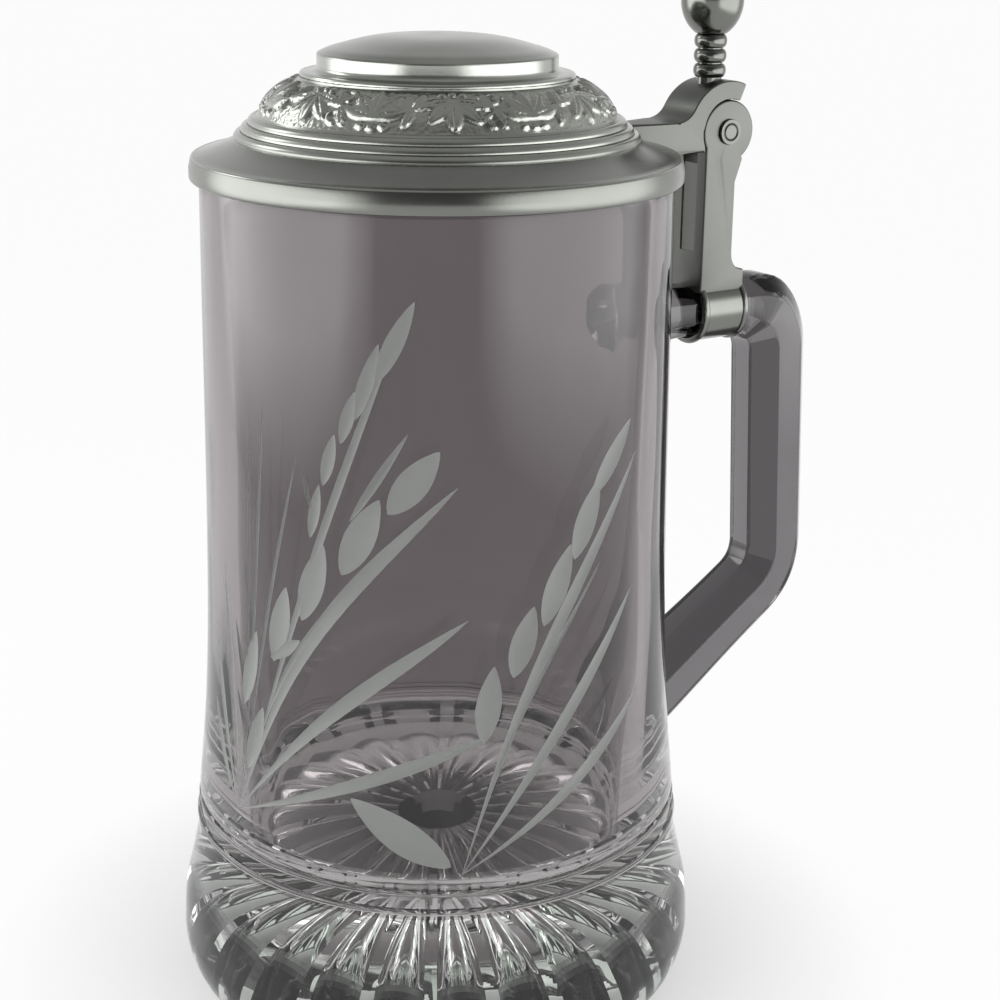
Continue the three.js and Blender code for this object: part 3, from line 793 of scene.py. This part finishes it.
def shade_glass(mug, grip):
    """Marks the faces that get painted shade: parts of the star, and some inner facets of the handle."""
    count = len(mug.data.polygons)
    places, normals, material = np.zeros(count * 3), np.zeros(count * 3), np.zeros(count, int)
    mug.data.polygons.foreach_get("center", places)
    mug.data.polygons.foreach_get("normal", normals)
    mug.data.polygons.foreach_get("material_index", material)
    near_side = normals.reshape(-1, 3)
    near_side[:, 1] = -np.abs(near_side[:, 1])
    facing = near_side @ np.array(PAINTED_SHADE_FACETS) / np.linalg.norm(PAINTED_SHADE_FACETS)
    star = petal_shade(*places.reshape(-1, 3).T / MM)
    # Handle facets facing that way get painted shade; the star's faces get the petals' painted shade
    shade = np.where(material == grip, ease(facing, *PAINTED_SHADE_FACING), star)
    attribute = mug.data.attributes.new("shade", "FLOAT", "FACE")
    attribute.data.foreach_set("value", shade.astype(np.float32))


def leaf_cutter(base, tip, width, depth, bow, swell, steps=22):
    """A closed tool that cuts one leaf or blade into the wall, placed by degrees and heights."""
    count = len(LEAF_ACROSS)
    start, end = np.array(base, float), np.array(tip, float)
    flat = math.radians(1) * RIM_RADIUS
    run = (end - start) * (flat, 1)
    side = np.array((-run[1] / flat, run[0])) / np.linalg.norm(run)
    places = []
    for t in np.linspace(0, 1, steps + 1):
        half = width / 2 * (LEAF_TIP + math.sin(math.pi * t ** swell) ** LEAF_FULLNESS)
        middle = start + (end - start) * t + side * bow * math.sin(math.pi * t)
        for level in (0, 1):
            for s in LEAF_ACROSS:
                turn, height = middle + side * half * s
                sink = depth * (2 * half / width) * (1 - s * s) if level == 0 else -CUTTER_PROUD
                radius = float(wall_radius(height)) - sink
                angle = FRONT_ANGLE + math.radians(turn)
                places.append((radius * math.cos(angle), radius * math.sin(angle), height))
    ring = [*range(count), *range(2 * count - 1, count - 1, -1)]
    faces = [ring, [steps * 2 * count + k for k in ring]]
    for row in range(steps):
        here = row * 2 * count
        for a, b in zip(ring, ring[1:] + ring[:1]):
            faces.append((here + a, here + b, here + 2 * count + b, here + 2 * count + a))
    return new_piece("leaf_cutter", places, faces)


def make_body():
    lip = arc(RIM_RADIUS - WALL / 2, RIM_TOP - WALL / 2, WALL / 2, WALL / 2, 15, 180, 12)
    corner_top = FLOOR_HEIGHT + FLOOR_CORNER
    corner = arc(INNER_RADIUS - FLOOR_CORNER, corner_top, FLOOR_CORNER, FLOOR_CORNER, 0, -90, 8)
    inner = [(INNER_RADIUS, z) for z in np.linspace(RIM_TOP - WALL, corner_top + FLOOR_CORNER / 2, 24)]
    floor = [(r, FLOOR_HEIGHT) for r in FLOOR_RINGS]
    section = [*under_line(), *body_outline(3), *lip, *inner, *corner, *floor]
    return lathe("glass_mug", section, BODY_SEGMENTS, press_petals)


# Glass handle

def handle_line(count):
    """Points at even steps along the handle's centre line, in the X-Z plane."""
    grip_top = GRIP_REACH - GRIP_LEAN
    arm_end = grip_top - UPPER_BEND
    root = np.array((SHOULDER_RADIUS - WALL, SHOULDER_HEIGHT))
    corner = np.array((GRIP_REACH, LOWER_CORNER))
    lower_start = corner + (root - corner) / np.linalg.norm(root - corner) * LOWER_BEND
    bend = [
        (arm_end, ARM_HEIGHT),
        (arm_end + UPPER_BEND * BEND_PULL, ARM_HEIGHT),
        (grip_top, ARM_HEIGHT - UPPER_BEND_DROP * (1 - BEND_PULL)),
        (grip_top, ARM_HEIGHT - UPPER_BEND_DROP),
    ]
    turn = [(GRIP_REACH, LOWER_CORNER + LOWER_BEND), corner, lower_start]
    line = np.array([(INNER_RADIUS, ARM_HEIGHT), *bezier(bend, 30), *bezier(turn, 30), root])
    along = np.concatenate([[0], np.cumsum(np.linalg.norm(np.diff(line, axis=0), axis=1))])
    places = np.linspace(0, along[-1], count)
    return np.stack([np.interp(places, along, line[:, k]) for k in (0, 1)], -1), places


def handle_widths(places):
    """Width across the flats: narrow in the ring, full on the grip, spread at both roots."""
    ring_start = RING_REACH - RING_LENGTH / 2 - INNER_RADIUS
    ring_end = ring_start + RING_LENGTH
    arm = UPPER_ROOT_WIDTH + (ARM_WIDTH - UPPER_ROOT_WIDTH) * ease(places, 0, ring_start - 2)
    grip = arm + (GRIP_WIDTH - arm) * ease(places, ring_end + 1, ring_end + GRIP_SWELL_LENGTH)
    return grip + (ROOT_WIDTH - grip) * ease(places, places[-1] - ROOT_SPREAD_LENGTH, places[-1])


def faceted_section(width):
    """Corners of the eight-sided section, each rounded off."""
    points = []
    for side in range(HANDLE_SIDES):
        middle = (side + 0.5) * 2 * math.pi / HANDLE_SIDES
        inset = (width / 2 - HANDLE_EDGE) / math.cos(math.pi / HANDLE_SIDES)
        for turn in (-0.5, -0.17, 0.17, 0.5):
            angle = middle + turn * 2 * math.pi / HANDLE_SIDES
            points.append((inset * math.cos(middle) + HANDLE_EDGE * math.cos(angle),
                           inset * math.sin(middle) + HANDLE_EDGE * math.sin(angle)))
    return points


def make_handle():
    line, places = handle_line(150)
    widths = handle_widths(places)
    heading = np.gradient(line, axis=0)
    heading /= np.linalg.norm(heading, axis=1)[:, None]
    vertices = []
    for (x, z), (dx, dz), width in zip(line, heading, widths):
        for out, side in faceted_section(width):
            vertices.append((x - dz * out, side, z + dx * out))
    count = len(faceted_section(GRIP_WIDTH))
    faces = [range(count), range(len(vertices) - count, len(vertices))]
    for row in range(len(line) - 1):
        for k in range(count):
            after = (k + 1) % count
            here, there = row * count, (row + 1) * count
            faces.append((here + k, here + after, there + after, there + k))
    handle = new_piece("handle", vertices, faces)
    core = [(0, -1), *((r - WELD_DEPTH, z) for r, z in body_outline()), (0, RIM_TOP)]
    return combine(handle, lathe("core", core, 160), "DIFFERENCE")


def make_mug():
    """Body and handle in one piece of glass, with the leaves ground into it."""
    glasses = [
        # The wall's and handle's dark tints are painted shade, standing for dark surroundings seen through
        # the clear glass; the foot and floor glass stay near clear
        glass_material("shaded_wall_glass", (0.29, 0.262, 0.271), wave=WALL_WAVE_DEPTH, stretch=WALL_STREAK),
        glass_material("handle_glass", (0.17, 0.162, 0.168), (0.035, 0.032, 0.034)),
        frosted_material(),
        # The foot glass's dark colour and low clearness paint shade into the star's petals and button
        glass_material("foot_glass", (0.85, 0.88, 0.85), (0.004, 0.0042, 0.004), PETAL_SHADE_CLEARNESS),
        glass_material("floor_glass", (0.95, 0.95, 0.95)),
    ]
    wall, grip, frosted, foot, floor = range(len(glasses))
    cuts = [(base, tip, width, LEAF_DEPTH, 0, LEAF_SWELL) for base, tip, width in LEAVES]
    for root, blades in ((LEFT_ROOT, LEFT_BLADES), (RIGHT_ROOT, RIGHT_BLADES)):
        cuts += [(root, tip, width, BLADE_DEPTH, bow, BLADE_SWELL) for tip, width, bow in blades]
    tool = leaf_cutter(*cuts[0])
    for cut in cuts[1:]:
        combine(tool, leaf_cutter(*cut), "UNION")
    mug = dress(make_body(), glasses, wall)
    for face in mug.data.polygons:
        x, y, z = face.center / MM
        in_cup = z > FLOOR_HEIGHT - FACE_SLACK and math.hypot(x, y) < INNER_RADIUS + FACE_SLACK
        if in_cup and z < SHOULDER_HEIGHT:
            face.material_index = floor
        elif z < CLEAR_TOP:
            face.material_index = foot
    combine(mug, dress(make_handle(), glasses, grip), "UNION")
    combine(mug, dress(tool, glasses, frosted), "DIFFERENCE")
    soften(mug, 25)
    sharpen_borders(mug.data)
    shade_glass(mug, grip)
    return mug


# Pewter ring, shank and pin

def make_ring():
    half = RING_LENGTH / 2
    end = RING_BEAD_LENGTH / 2
    section = [
        (RING_BORE, -half),
        *arc(RING_RADIUS - RING_BEAD_SINK, -half + end, RING_BEAD + RING_BEAD_SINK, end, -90, 90, 8),
        *arc(RING_RADIUS - RING_BEAD_SINK, half - end, RING_BEAD + RING_BEAD_SINK, end, -90, 90, 8),
        (RING_BORE, half),
    ]
    ring = lathe("handle_ring_band", section, 128, loop=True)
    ring.data.transform(Matrix.Rotation(math.pi / 2, 4, "Y"))
    ring.data.transform(Matrix.Translation((RING_REACH * MM, 0, ARM_HEIGHT * MM)))
    return soften(ring)


def make_shank():
    outer = SHANK_INNER + SHANK_DEPTH
    ring_end = RING_REACH + RING_LENGTH / 2 - SHANK_END_INSET
    foot = ARM_HEIGHT + RING_RADIUS - SHANK_SINK
    flare = ARM_HEIGHT + RING_RADIUS + FLARE_RISE
    stop = PIN_HEIGHT - STOP_DROP
    outline = [
        (SHANK_INNER, foot),
        (ring_end, foot),
        *bezier([(ring_end, flare), (outer, flare), (outer, flare + FLARE_HEIGHT)], 8),
        (outer, stop - STOP_LENGTH),
        (outer + STOP_DEPTH, stop),
        (outer, PIN_HEIGHT),
        (SHANK_INNER, PIN_HEIGHT),
    ]
    shank = plate("hinge_shank_casting", outline, HINGE_WIDTH, METAL_EDGE)
    combine(shank, bar_along_y(EAR_RADIUS, HINGE_WIDTH, METAL_EDGE), "UNION")
    combine(shank, bar_along_y(EAR_RADIUS + FORK_ROOM, KNUCKLE_WIDTH + 2 * SEAT_GAP), "DIFFERENCE")
    panel = [
        (SHANK_INNER - CUT_OVERSHOOT, flare + FLARE_HEIGHT),
        (SHANK_INNER + FLUTE_LINE_DEPTH, flare + FLARE_HEIGHT),
        (SHANK_INNER + FLUTE_LINE_DEPTH, PIN_HEIGHT),
        (SHANK_INNER - CUT_OVERSHOOT, PIN_HEIGHT),
    ]
    combine(shank, plate("panel", panel, KNUCKLE_WIDTH + 2 * SEAT_GAP, CUT_EDGE), "DIFFERENCE")
    return soften(shank)


def make_pin():
    head = HINGE_WIDTH / 2 + SEAT_GAP
    end = head + PIN_HEAD_THICKNESS
    groove = PIN_HEAD_RADIUS * PIN_GROOVE_SHARE
    upper = [
        (PIN_RADIUS, head),
        (PIN_HEAD_RADIUS, head),
        (PIN_HEAD_RADIUS - PIN_GROOVE / 2, end),
        (groove + PIN_GROOVE, end),
        (groove, end - PIN_GROOVE),
        (groove - PIN_GROOVE, end),
        (0, end),
    ]
    lower = [(r, -z) for r, z in reversed(upper)]
    pin = lathe("hinge_pin_rivet", [*lower, *upper], 64)
    pin.data.transform(Matrix.Rotation(math.pi / 2, 4, "X"))
    pin.data.transform(Matrix.Translation((PIN_REACH * MM, 0, PIN_HEIGHT * MM)))
    return soften(pin)


# Pewter lid

def lid_below_frieze():
    """The band round the rim, the hollow flange and the ribs."""
    middle = (LID_BOTTOM + BAND_TOP) / 2
    band = [
        *arc(LID_RADIUS - BAND_EDGE, LID_BOTTOM + BAND_EDGE, BAND_EDGE, BAND_EDGE, -90, -10, 5),
        (LID_RADIUS, middle),
        *arc(LID_RADIUS - BAND_BULGE - BAND_EDGE, BAND_TOP - BAND_EDGE, BAND_EDGE, BAND_EDGE, 10, 90, 5),
    ]
    flange = bezier([
        (LID_RADIUS - BAND_BULGE - BAND_EDGE - FLANGE_START, BAND_TOP),
        (RIB_FOOT_RADIUS + FLANGE_BEND[0], RIB_FOOT - FLANGE_BEND[1]),
        (RIB_FOOT_RADIUS, RIB_FOOT),
    ], 10)
    ribs = []
    for i in range(RIB_COUNT):
        share = (i + 0.5) / RIB_COUNT
        radius = RIB_FOOT_RADIUS + (FRIEZE_FOOT_RADIUS - RIB_FOOT_RADIUS) * share
        height = RIB_FOOT + (FRIEZE_FOOT - RIB_FOOT) * share
        for turn in np.radians(np.linspace(0, 180, 11)):
            up, out = -RIB_HALF_WIDTH * math.cos(turn), RIB_PROUD * math.sin(turn)
            ribs.append((radius + (out - up) / math.sqrt(2), height + (out + up) / math.sqrt(2)))
    return [*band, *flange, *ribs]


def frieze_line():
    """The swelling slope that the leaf scroll is cast on."""
    foot = np.array((FRIEZE_FOOT_RADIUS - FRIEZE_INSET, FRIEZE_FOOT + FRIEZE_INSET))
    top = np.array((FRIEZE_TOP_RADIUS, FRIEZE_TOP))
    swell = (foot + top) / 2 + 2 * FRIEZE_BULGE
    return bezier([foot, swell, top], FRIEZE_ROWS)


def lid_above_frieze():
    """The bead above the frieze and the collar with a fillet at its foot."""
    bead = FRIEZE_TOP_RADIUS - COLLAR_BEAD
    ledge = FRIEZE_TOP + 2 * COLLAR_BEAD
    fillet = (COLLAR_RADIUS + COLLAR_FILLET, ledge + COLLAR_FILLET)
    return [
        *arc(bead, FRIEZE_TOP + COLLAR_BEAD, COLLAR_BEAD, COLLAR_BEAD, -30, 60, 6),
        *arc(*fillet, COLLAR_FILLET, COLLAR_FILLET, -90, -180, 8),
        (COLLAR_RADIUS, COLLAR_TOP),
        (0, COLLAR_TOP),
    ]


def lid_hollow():
    """The underside from the middle down to the inside of the skirt."""
    seat = RIM_TOP + SEAT_GAP
    thin = LID_WALL / math.sqrt(2)
    return [
        (0, COLLAR_TOP - LID_WALL),
        (COLLAR_RADIUS - thin, COLLAR_TOP - LID_WALL),
        (FRIEZE_TOP_RADIUS - thin, FRIEZE_TOP - LID_WALL),
        (FRIEZE_FOOT_RADIUS - thin, FRIEZE_FOOT - LID_WALL),
        (RIB_FOOT_RADIUS - thin, RIB_FOOT - LID_WALL),
        (SKIRT_RADIUS - SEAT_WIDTH, seat),
        (SKIRT_RADIUS, seat),
        (SKIRT_RADIUS, LID_BOTTOM + SKIRT_EDGE),
    ]


def lobe(x, y, base, lean, length, width):
    """Height of one almond-shaped lobe with a vein, 0 outside it."""
    c, s = math.cos(math.radians(lean)), math.sin(math.radians(lean))
    along = ((x - base[0]) * c + (y - base[1]) * s) / length
    across = (y - base[1]) * c - (x - base[0]) * s
    half = width / 2 * np.sin(math.pi * np.clip(along, 0, 1)) ** LOBE_FULLNESS + 1e-6
    vein = 1 - VEIN_DEPTH * np.exp(-(across / VEIN_WIDTH) ** 2)
    return np.where((along > 0) & (along < 1), dome(across, half) * vein, 0)


def scroll_relief(angle, along):
    """Leaf scroll on the frieze, 0 in its ground to 1 on its crests, by angle and share of the slope."""
    slope = math.hypot(FRIEZE_WIDTH, FRIEZE_TOP - FRIEZE_FOOT)
    wave = 2 * math.pi * FRIEZE_MIDDLE_RADIUS / VINE_WAVES
    x = np.mod(angle * FRIEZE_MIDDLE_RADIUS, wave) - wave / 2
    y = (along - 0.5) * slope
    swing = 2 * math.pi / wave
    lean = VINE_SWING * swing * np.cos(x * swing)
    off = np.abs(y - VINE_SWING * np.sin(x * swing)) / np.sqrt(1 + lean ** 2)
    relief = VINE_RISE * dome(off, VINE_WIDTH)
    for side in (-1, 1):
        root = (side * wave * FAN_PLACE, side * VINE_SWING * FAN_ROOT)
        for lean, length, width in FAN:
            turned = lean if side > 0 else lean + 180
            relief = np.maximum(relief, lobe(x, y, root, turned, length, width))
        for step in (-1, 0, 1):
            out = BERRY_OUT - BERRY_BOW * step * step
            berry = np.hypot(x - side * wave * FAN_PLACE - step * BERRY_STEP, y - side * out)
            relief = np.maximum(relief, BERRY_RISE * dome(berry, BERRY_RADIUS))
        curl = np.abs(np.hypot(x - side * wave * CURL_PLACE, y + side * CURL_DROP) - CURL_RADIUS)
        relief = np.maximum(relief, CURL_RISE * dome(curl, CURL_WIDTH))
    for crossing in (-wave / 2, 0, wave / 2):
        for lean, length, width in SPRIG:
            turned = lean if crossing == 0 else 180 - lean
            relief = np.maximum(relief, lobe(x, y, (crossing, 0), turned, length, width))
    border = np.clip(np.minimum(along, 1 - along) / BORDER_SHARE, 0, 1)
    return relief * border


def make_lid():
    below, frieze, above = lid_below_frieze(), frieze_line(), lid_above_frieze()
    hollow = lid_hollow()
    first = len(hollow) + len(below)
    along = np.linspace(0, 1, len(frieze))
    inside = slice(first, first + len(frieze))

    def cast(radius, height, angle):
        share = np.repeat(along[:, None], angle.shape[1], axis=1)
        rise = RELIEF_HEIGHT * scroll_relief(angle[inside], share)
        rise -= GROUND_SINK * np.clip(share * (1 - share) * GROUND_STEEPNESS, 0, 1)
        radius, height = radius.copy(), height.copy()
        radius[inside] += rise / math.sqrt(2)
        height[inside] += rise / math.sqrt(2)
        return radius, height, angle

    lid = lathe("lid_casting", [*hollow, *below, *frieze, *above], LID_SEGMENTS, cast)
    age_and_paint_light_on_lid(lid)
    return soften(lid, 40)


def age_and_paint_light_on_lid(lid):
    """Marks how aged or polished each part of the lid is, paints shade on the flange and band and a sheen on
    the collar, and marks where the frieze's ground is punched.
    """
    places = np.zeros(len(lid.data.vertices) * 3)
    lid.data.vertices.foreach_get("co", places)
    x, y, z = places.reshape(-1, 3).T / MM
    radius = np.hypot(x, y)
    line = np.array(frieze_line())
    along = (z - line[0, 1]) / (line[-1, 1] - line[0, 1])
    on_frieze = (along > FRIEZE_MARGIN) & (along < 1 - FRIEZE_MARGIN)
    on_frieze &= radius > np.interp(z, line[:, 1], line[:, 0]) - RELIEF_SLACK
    relief = scroll_relief(np.arctan2(y, x) % (2 * math.pi), np.clip(along, 0, 1))
    patina_and_painted_light = np.where(on_frieze, GROUND_PATINA * (1 - relief) ** 2 + CREST_POLISH * relief ** 2, 0)
    # Painted shade on the flange and the band, a painted sheen on the collar
    on_flange = (radius > RIB_FOOT_RADIUS) & (z > BAND_TOP - FLANGE_SLACK)
    patina_and_painted_light = np.where(on_flange, FLANGE_PAINTED_SHADE, patina_and_painted_light)
    on_band = (radius > SKIRT_RADIUS + BAND_SLACK) & (z < BAND_TOP - BAND_DROP)
    patina_and_painted_light = np.where(on_band, BAND_PAINTED_SHADE, patina_and_painted_light)
    on_collar = (z > FRIEZE_TOP + COLLAR_BEAD) & (z < COLLAR_TOP + BAND_SLACK)
    patina_and_painted_light = np.where(on_collar, COLLAR_PAINTED_SHEEN, patina_and_painted_light)
    stipple = np.where(on_frieze, 1 - relief, 0)
    ground = lid.data.attributes.new("stipple", "FLOAT", "POINT")
    ground.data.foreach_set("value", stipple.astype(np.float32))
    attribute = lid.data.attributes.new("patina_and_painted_light", "FLOAT", "POINT")
    attribute.data.foreach_set("value", patina_and_painted_light.astype(np.float32))


def make_disc():
    """The plain domed disc, flush with the collar that it sits on."""
    bottom = COLLAR_TOP - SEAT_GAP
    shoulder = COLLAR_TOP + DISC_EDGE
    edge = [(COLLAR_RADIUS - inset, COLLAR_TOP + rise) for inset, rise in DISC_ROUNDING]
    crown = [(COLLAR_RADIUS * share, shoulder + DOME_RISE * rise) for share, rise in DOME_CURVE]
    section = [(0, bottom), (COLLAR_RADIUS - DISC_SEAT_INSET, bottom), *smooth_line(edge + crown, 8)]
    return soften(lathe("lid_disc_dome", section, 240))


# Tang and thumblift

def make_tang():
    foot = PIN_REACH - SADDLE_RADIUS
    outline = [
        (TANG_TIP, TANG_BOTTOM),
        (foot - SADDLE_WALL, TANG_BOTTOM),
        (SHANK_INNER - SEAT_GAP, TANG_BOTTOM),
        (SHANK_INNER - SEAT_GAP, PIN_HEIGHT),
        (PIN_REACH, PIN_HEIGHT),
        *arc(PIN_REACH, PIN_HEIGHT, SADDLE_RADIUS, SADDLE_RADIUS, SADDLE_START, SADDLE_END, 18),
        *bezier([
            (PIN_REACH + SADDLE_RADIUS * math.cos(math.radians(SADDLE_END)),
             PIN_HEIGHT + SADDLE_RADIUS * math.sin(math.radians(SADDLE_END))),
            (foot, TANG_TOP),
            (foot - SADDLE_WALL, TANG_TOP),
        ], 6)[1:],
        (TANG_TIP, TANG_TOP),
    ]
    full = foot - SADDLE_WALL

    def narrow(x):
        share = np.clip((full - x) / (full - TANG_TIP), 0, 1)
        return 1 + (TANG_TIP_WIDTH / HINGE_WIDTH - 1) * share

    tang = plate("lid_tang_casting", outline, HINGE_WIDTH, METAL_EDGE, narrow)
    combine(tang, bar_along_y(EAR_RADIUS + SEAT_GAP, 2 * HINGE_WIDTH), "DIFFERENCE")
    combine(tang, plate("web", outline, KNUCKLE_WIDTH, WEB_EDGE), "UNION")
    combine(tang, bar_along_y(KNUCKLE_RADIUS, KNUCKLE_WIDTH), "UNION")
    combine(tang, bar_along_y(PIN_RADIUS + PIN_PLAY, 2 * HINGE_WIDTH), "DIFFERENCE")
    return soften(tang)


def make_thumblift():
    base = PIN_HEIGHT + SADDLE_RADIUS
    ball = base + SEAT_GAP + STEM_LENGTH
    neck = STEM_LENGTH - BALL_DROP * math.sin(math.radians(-BALL_NECK_ANGLE))
    pitch = neck / BEAD_COUNT
    beads = []
    for i in range(BEAD_COUNT):
        height = base + SEAT_GAP + (i + 0.5) * pitch
        beads += arc(STEM_RADIUS, height, BEAD_PROUD, BEAD_HALF_HEIGHT, -90, 90, 10)
    knob = arc(0, ball, BALL_RADIUS, BALL_DROP, BALL_NECK_ANGLE, 0, 20)
    knob += arc(0, ball, BALL_RADIUS, BALL_RADIUS, 0, 90, 20)[1:]
    foot = base - STEM_SINK
    stem = lathe("thumblift_knob", [(0, foot), (STEM_RADIUS, foot), *beads, *knob], 96)
    stem.data.transform(Matrix.Translation((STEM_REACH * MM, 0, 0)))
    return soften(stem)


# Studio

def make_floor():
    corners = [(x * FLOOR_REACH, y * FLOOR_REACH, 0) for x, y in ((-1, -1), (1, -1), (1, 1), (-1, 1))]
    floor = new_piece("floor", corners, [(0, 1, 2, 3)])
    floor.data.materials.append(floor_material())


def make_world():
    """Soft white all round, dimmer overhead and on the camera's side, and plain white where it is seen."""
    world = bpy.data.worlds.new("studio")
    bpy.context.scene.world = world
    world.use_nodes = True
    nodes, links = world.node_tree.nodes, world.node_tree.links
    place = nodes.new("ShaderNodeTexCoord")
    height = nodes.new("ShaderNodeSeparateXYZ")
    links.new(place.outputs["Generated"], height.inputs["Vector"])
    facing = nodes.new("ShaderNodeVectorMath")
    facing.operation = "DOT_PRODUCT"
    facing.inputs[1].default_value = (-AWAY - FRONT_TURN * RIGHT).normalized()
    links.new(place.outputs["Generated"], facing.inputs[0])
    sky = spread(nodes, links, height.outputs["Z"], HORIZON_LIGHT, OVERHEAD_LIGHT, *OVERHEAD_RANGE)
    front = spread(nodes, links, facing.outputs["Value"], 1, FRONT_LIGHT, *FRONT_RANGE)
    level = reckon(nodes, links, "MULTIPLY", sky, front)
    ray = nodes.new("ShaderNodeLightPath")
    seen = reckon(nodes, links, "MAXIMUM", level, ray.outputs["Is Camera Ray"])
    links.new(seen, nodes["Background"].inputs["Strength"])
    nodes["Background"].inputs["Color"].default_value = (1, 1, 1, 1)


def fade_edges(lamp):
    """Lets a panel's light fade out towards its four edges."""
    lamp.use_nodes = True
    nodes, links = lamp.node_tree.nodes, lamp.node_tree.links
    place = nodes.new("ShaderNodeNewGeometry")
    sides = nodes.new("ShaderNodeSeparateXYZ")
    links.new(place.outputs["Parametric"], sides.inputs["Vector"])
    fades = []
    for axis in ("X", "Y"):
        from_edge = reckon(nodes, links, "PINGPONG", sides.outputs[axis])
        from_edge.node.inputs[1].default_value = 0.5
        fades.append(spread(nodes, links, from_edge, 0, 1, 0, PANEL_EDGE))
    links.new(reckon(nodes, links, "MULTIPLY", *fades), nodes["Emission"].inputs["Strength"])


def make_softbox(name, turn, distance, height, size, power):
    """A soft panel facing the stein, turned round it from the camera's direction."""
    lamp = bpy.data.lights.new(name, "AREA")
    lamp.shape = "RECTANGLE"
    lamp.size, lamp.size_y = size
    lamp.energy = power
    fade_edges(lamp)
    panel = bpy.data.objects.new(name, lamp)
    bpy.context.scene.collection.objects.link(panel)
    angle = math.radians(turn)
    out = -AWAY * math.cos(angle) + RIGHT * math.sin(angle)
    panel.location = out * distance + UP * height
    panel.rotation_euler = (PANEL_AIM - panel.location).to_track_quat("-Z", "Y").to_euler()
    panel.visible_camera = False


def make_camera():
    forward = (AWAY * math.cos(CAMERA_YAW) + RIGHT * math.sin(CAMERA_YAW)) * math.cos(CAMERA_PITCH)
    forward -= UP * math.sin(CAMERA_PITCH)
    level = forward.cross(UP).normalized()
    upright = level.cross(forward)
    side = level * math.cos(CAMERA_ROLL) + upright * math.sin(CAMERA_ROLL)
    top = side.cross(forward)
    camera = bpy.data.objects.new("camera", bpy.data.cameras.new("camera"))
    camera.data.lens = CAMERA_LENS
    camera.data.sensor_width = 36
    camera.data.clip_start = 0.01
    turn = Matrix((side, top, -forward)).transposed()
    place = (-AWAY * CAMERA_DISTANCE + UP * CAMERA_HEIGHT) * MM
    camera.matrix_world = Matrix.Translation(place) @ turn.to_4x4()
    bpy.context.scene.collection.objects.link(camera)
    bpy.context.scene.camera = camera


lid_pewter = pewter_material("lid_pewter", (0.405, 0.414, 0.385), (0.3, 0.31, 0.286), 0.22)
# The mount's pewter is a darker copy of the lid's: painted shade that offsets the softboxes' stronger light
# on its faces
shaded_mount_pewter = pewter_material("shaded_mount_pewter", (0.17, 0.176, 0.163), (0.125, 0.13, 0.12), 0.36)
bright_pewter = pewter_material("bright_pewter", (0.21, 0.216, 0.2), (0.15, 0.155, 0.144), 0.17)
pin_pewter = pewter_material("pin_pewter", (0.19, 0.196, 0.184), (0.14, 0.145, 0.135), 0.32)

settle(make_mug(), "stein", "cut_glass", [], "glass_body", "glass_handle")
settle(make_ring(), "stein", "pewter_mount", [bright_pewter], "handle_ring")
settle(make_shank(), "stein", "pewter_mount", [shaded_mount_pewter], "hinge_shank")
settle(make_pin(), "stein", "pewter_pin", [pin_pewter], "hinge_pin")
settle(make_lid(), "lid", "pewter_lid", [lid_pewter], "lid_cap")
settle(make_disc(), "lid", "pewter_lid", [lid_pewter], "lid_top_disc")
settle(make_tang(), "lid", "pewter_mount", [shaded_mount_pewter], "lid_tang")
settle(make_thumblift(), "lid", "pewter_mount", [bright_pewter], "thumblift")

make_floor()
make_world()
for softbox, setting in SOFTBOXES.items():
    make_softbox(softbox, *setting)
make_camera()
bpy.context.scene.view_settings.view_transform = "Standard"
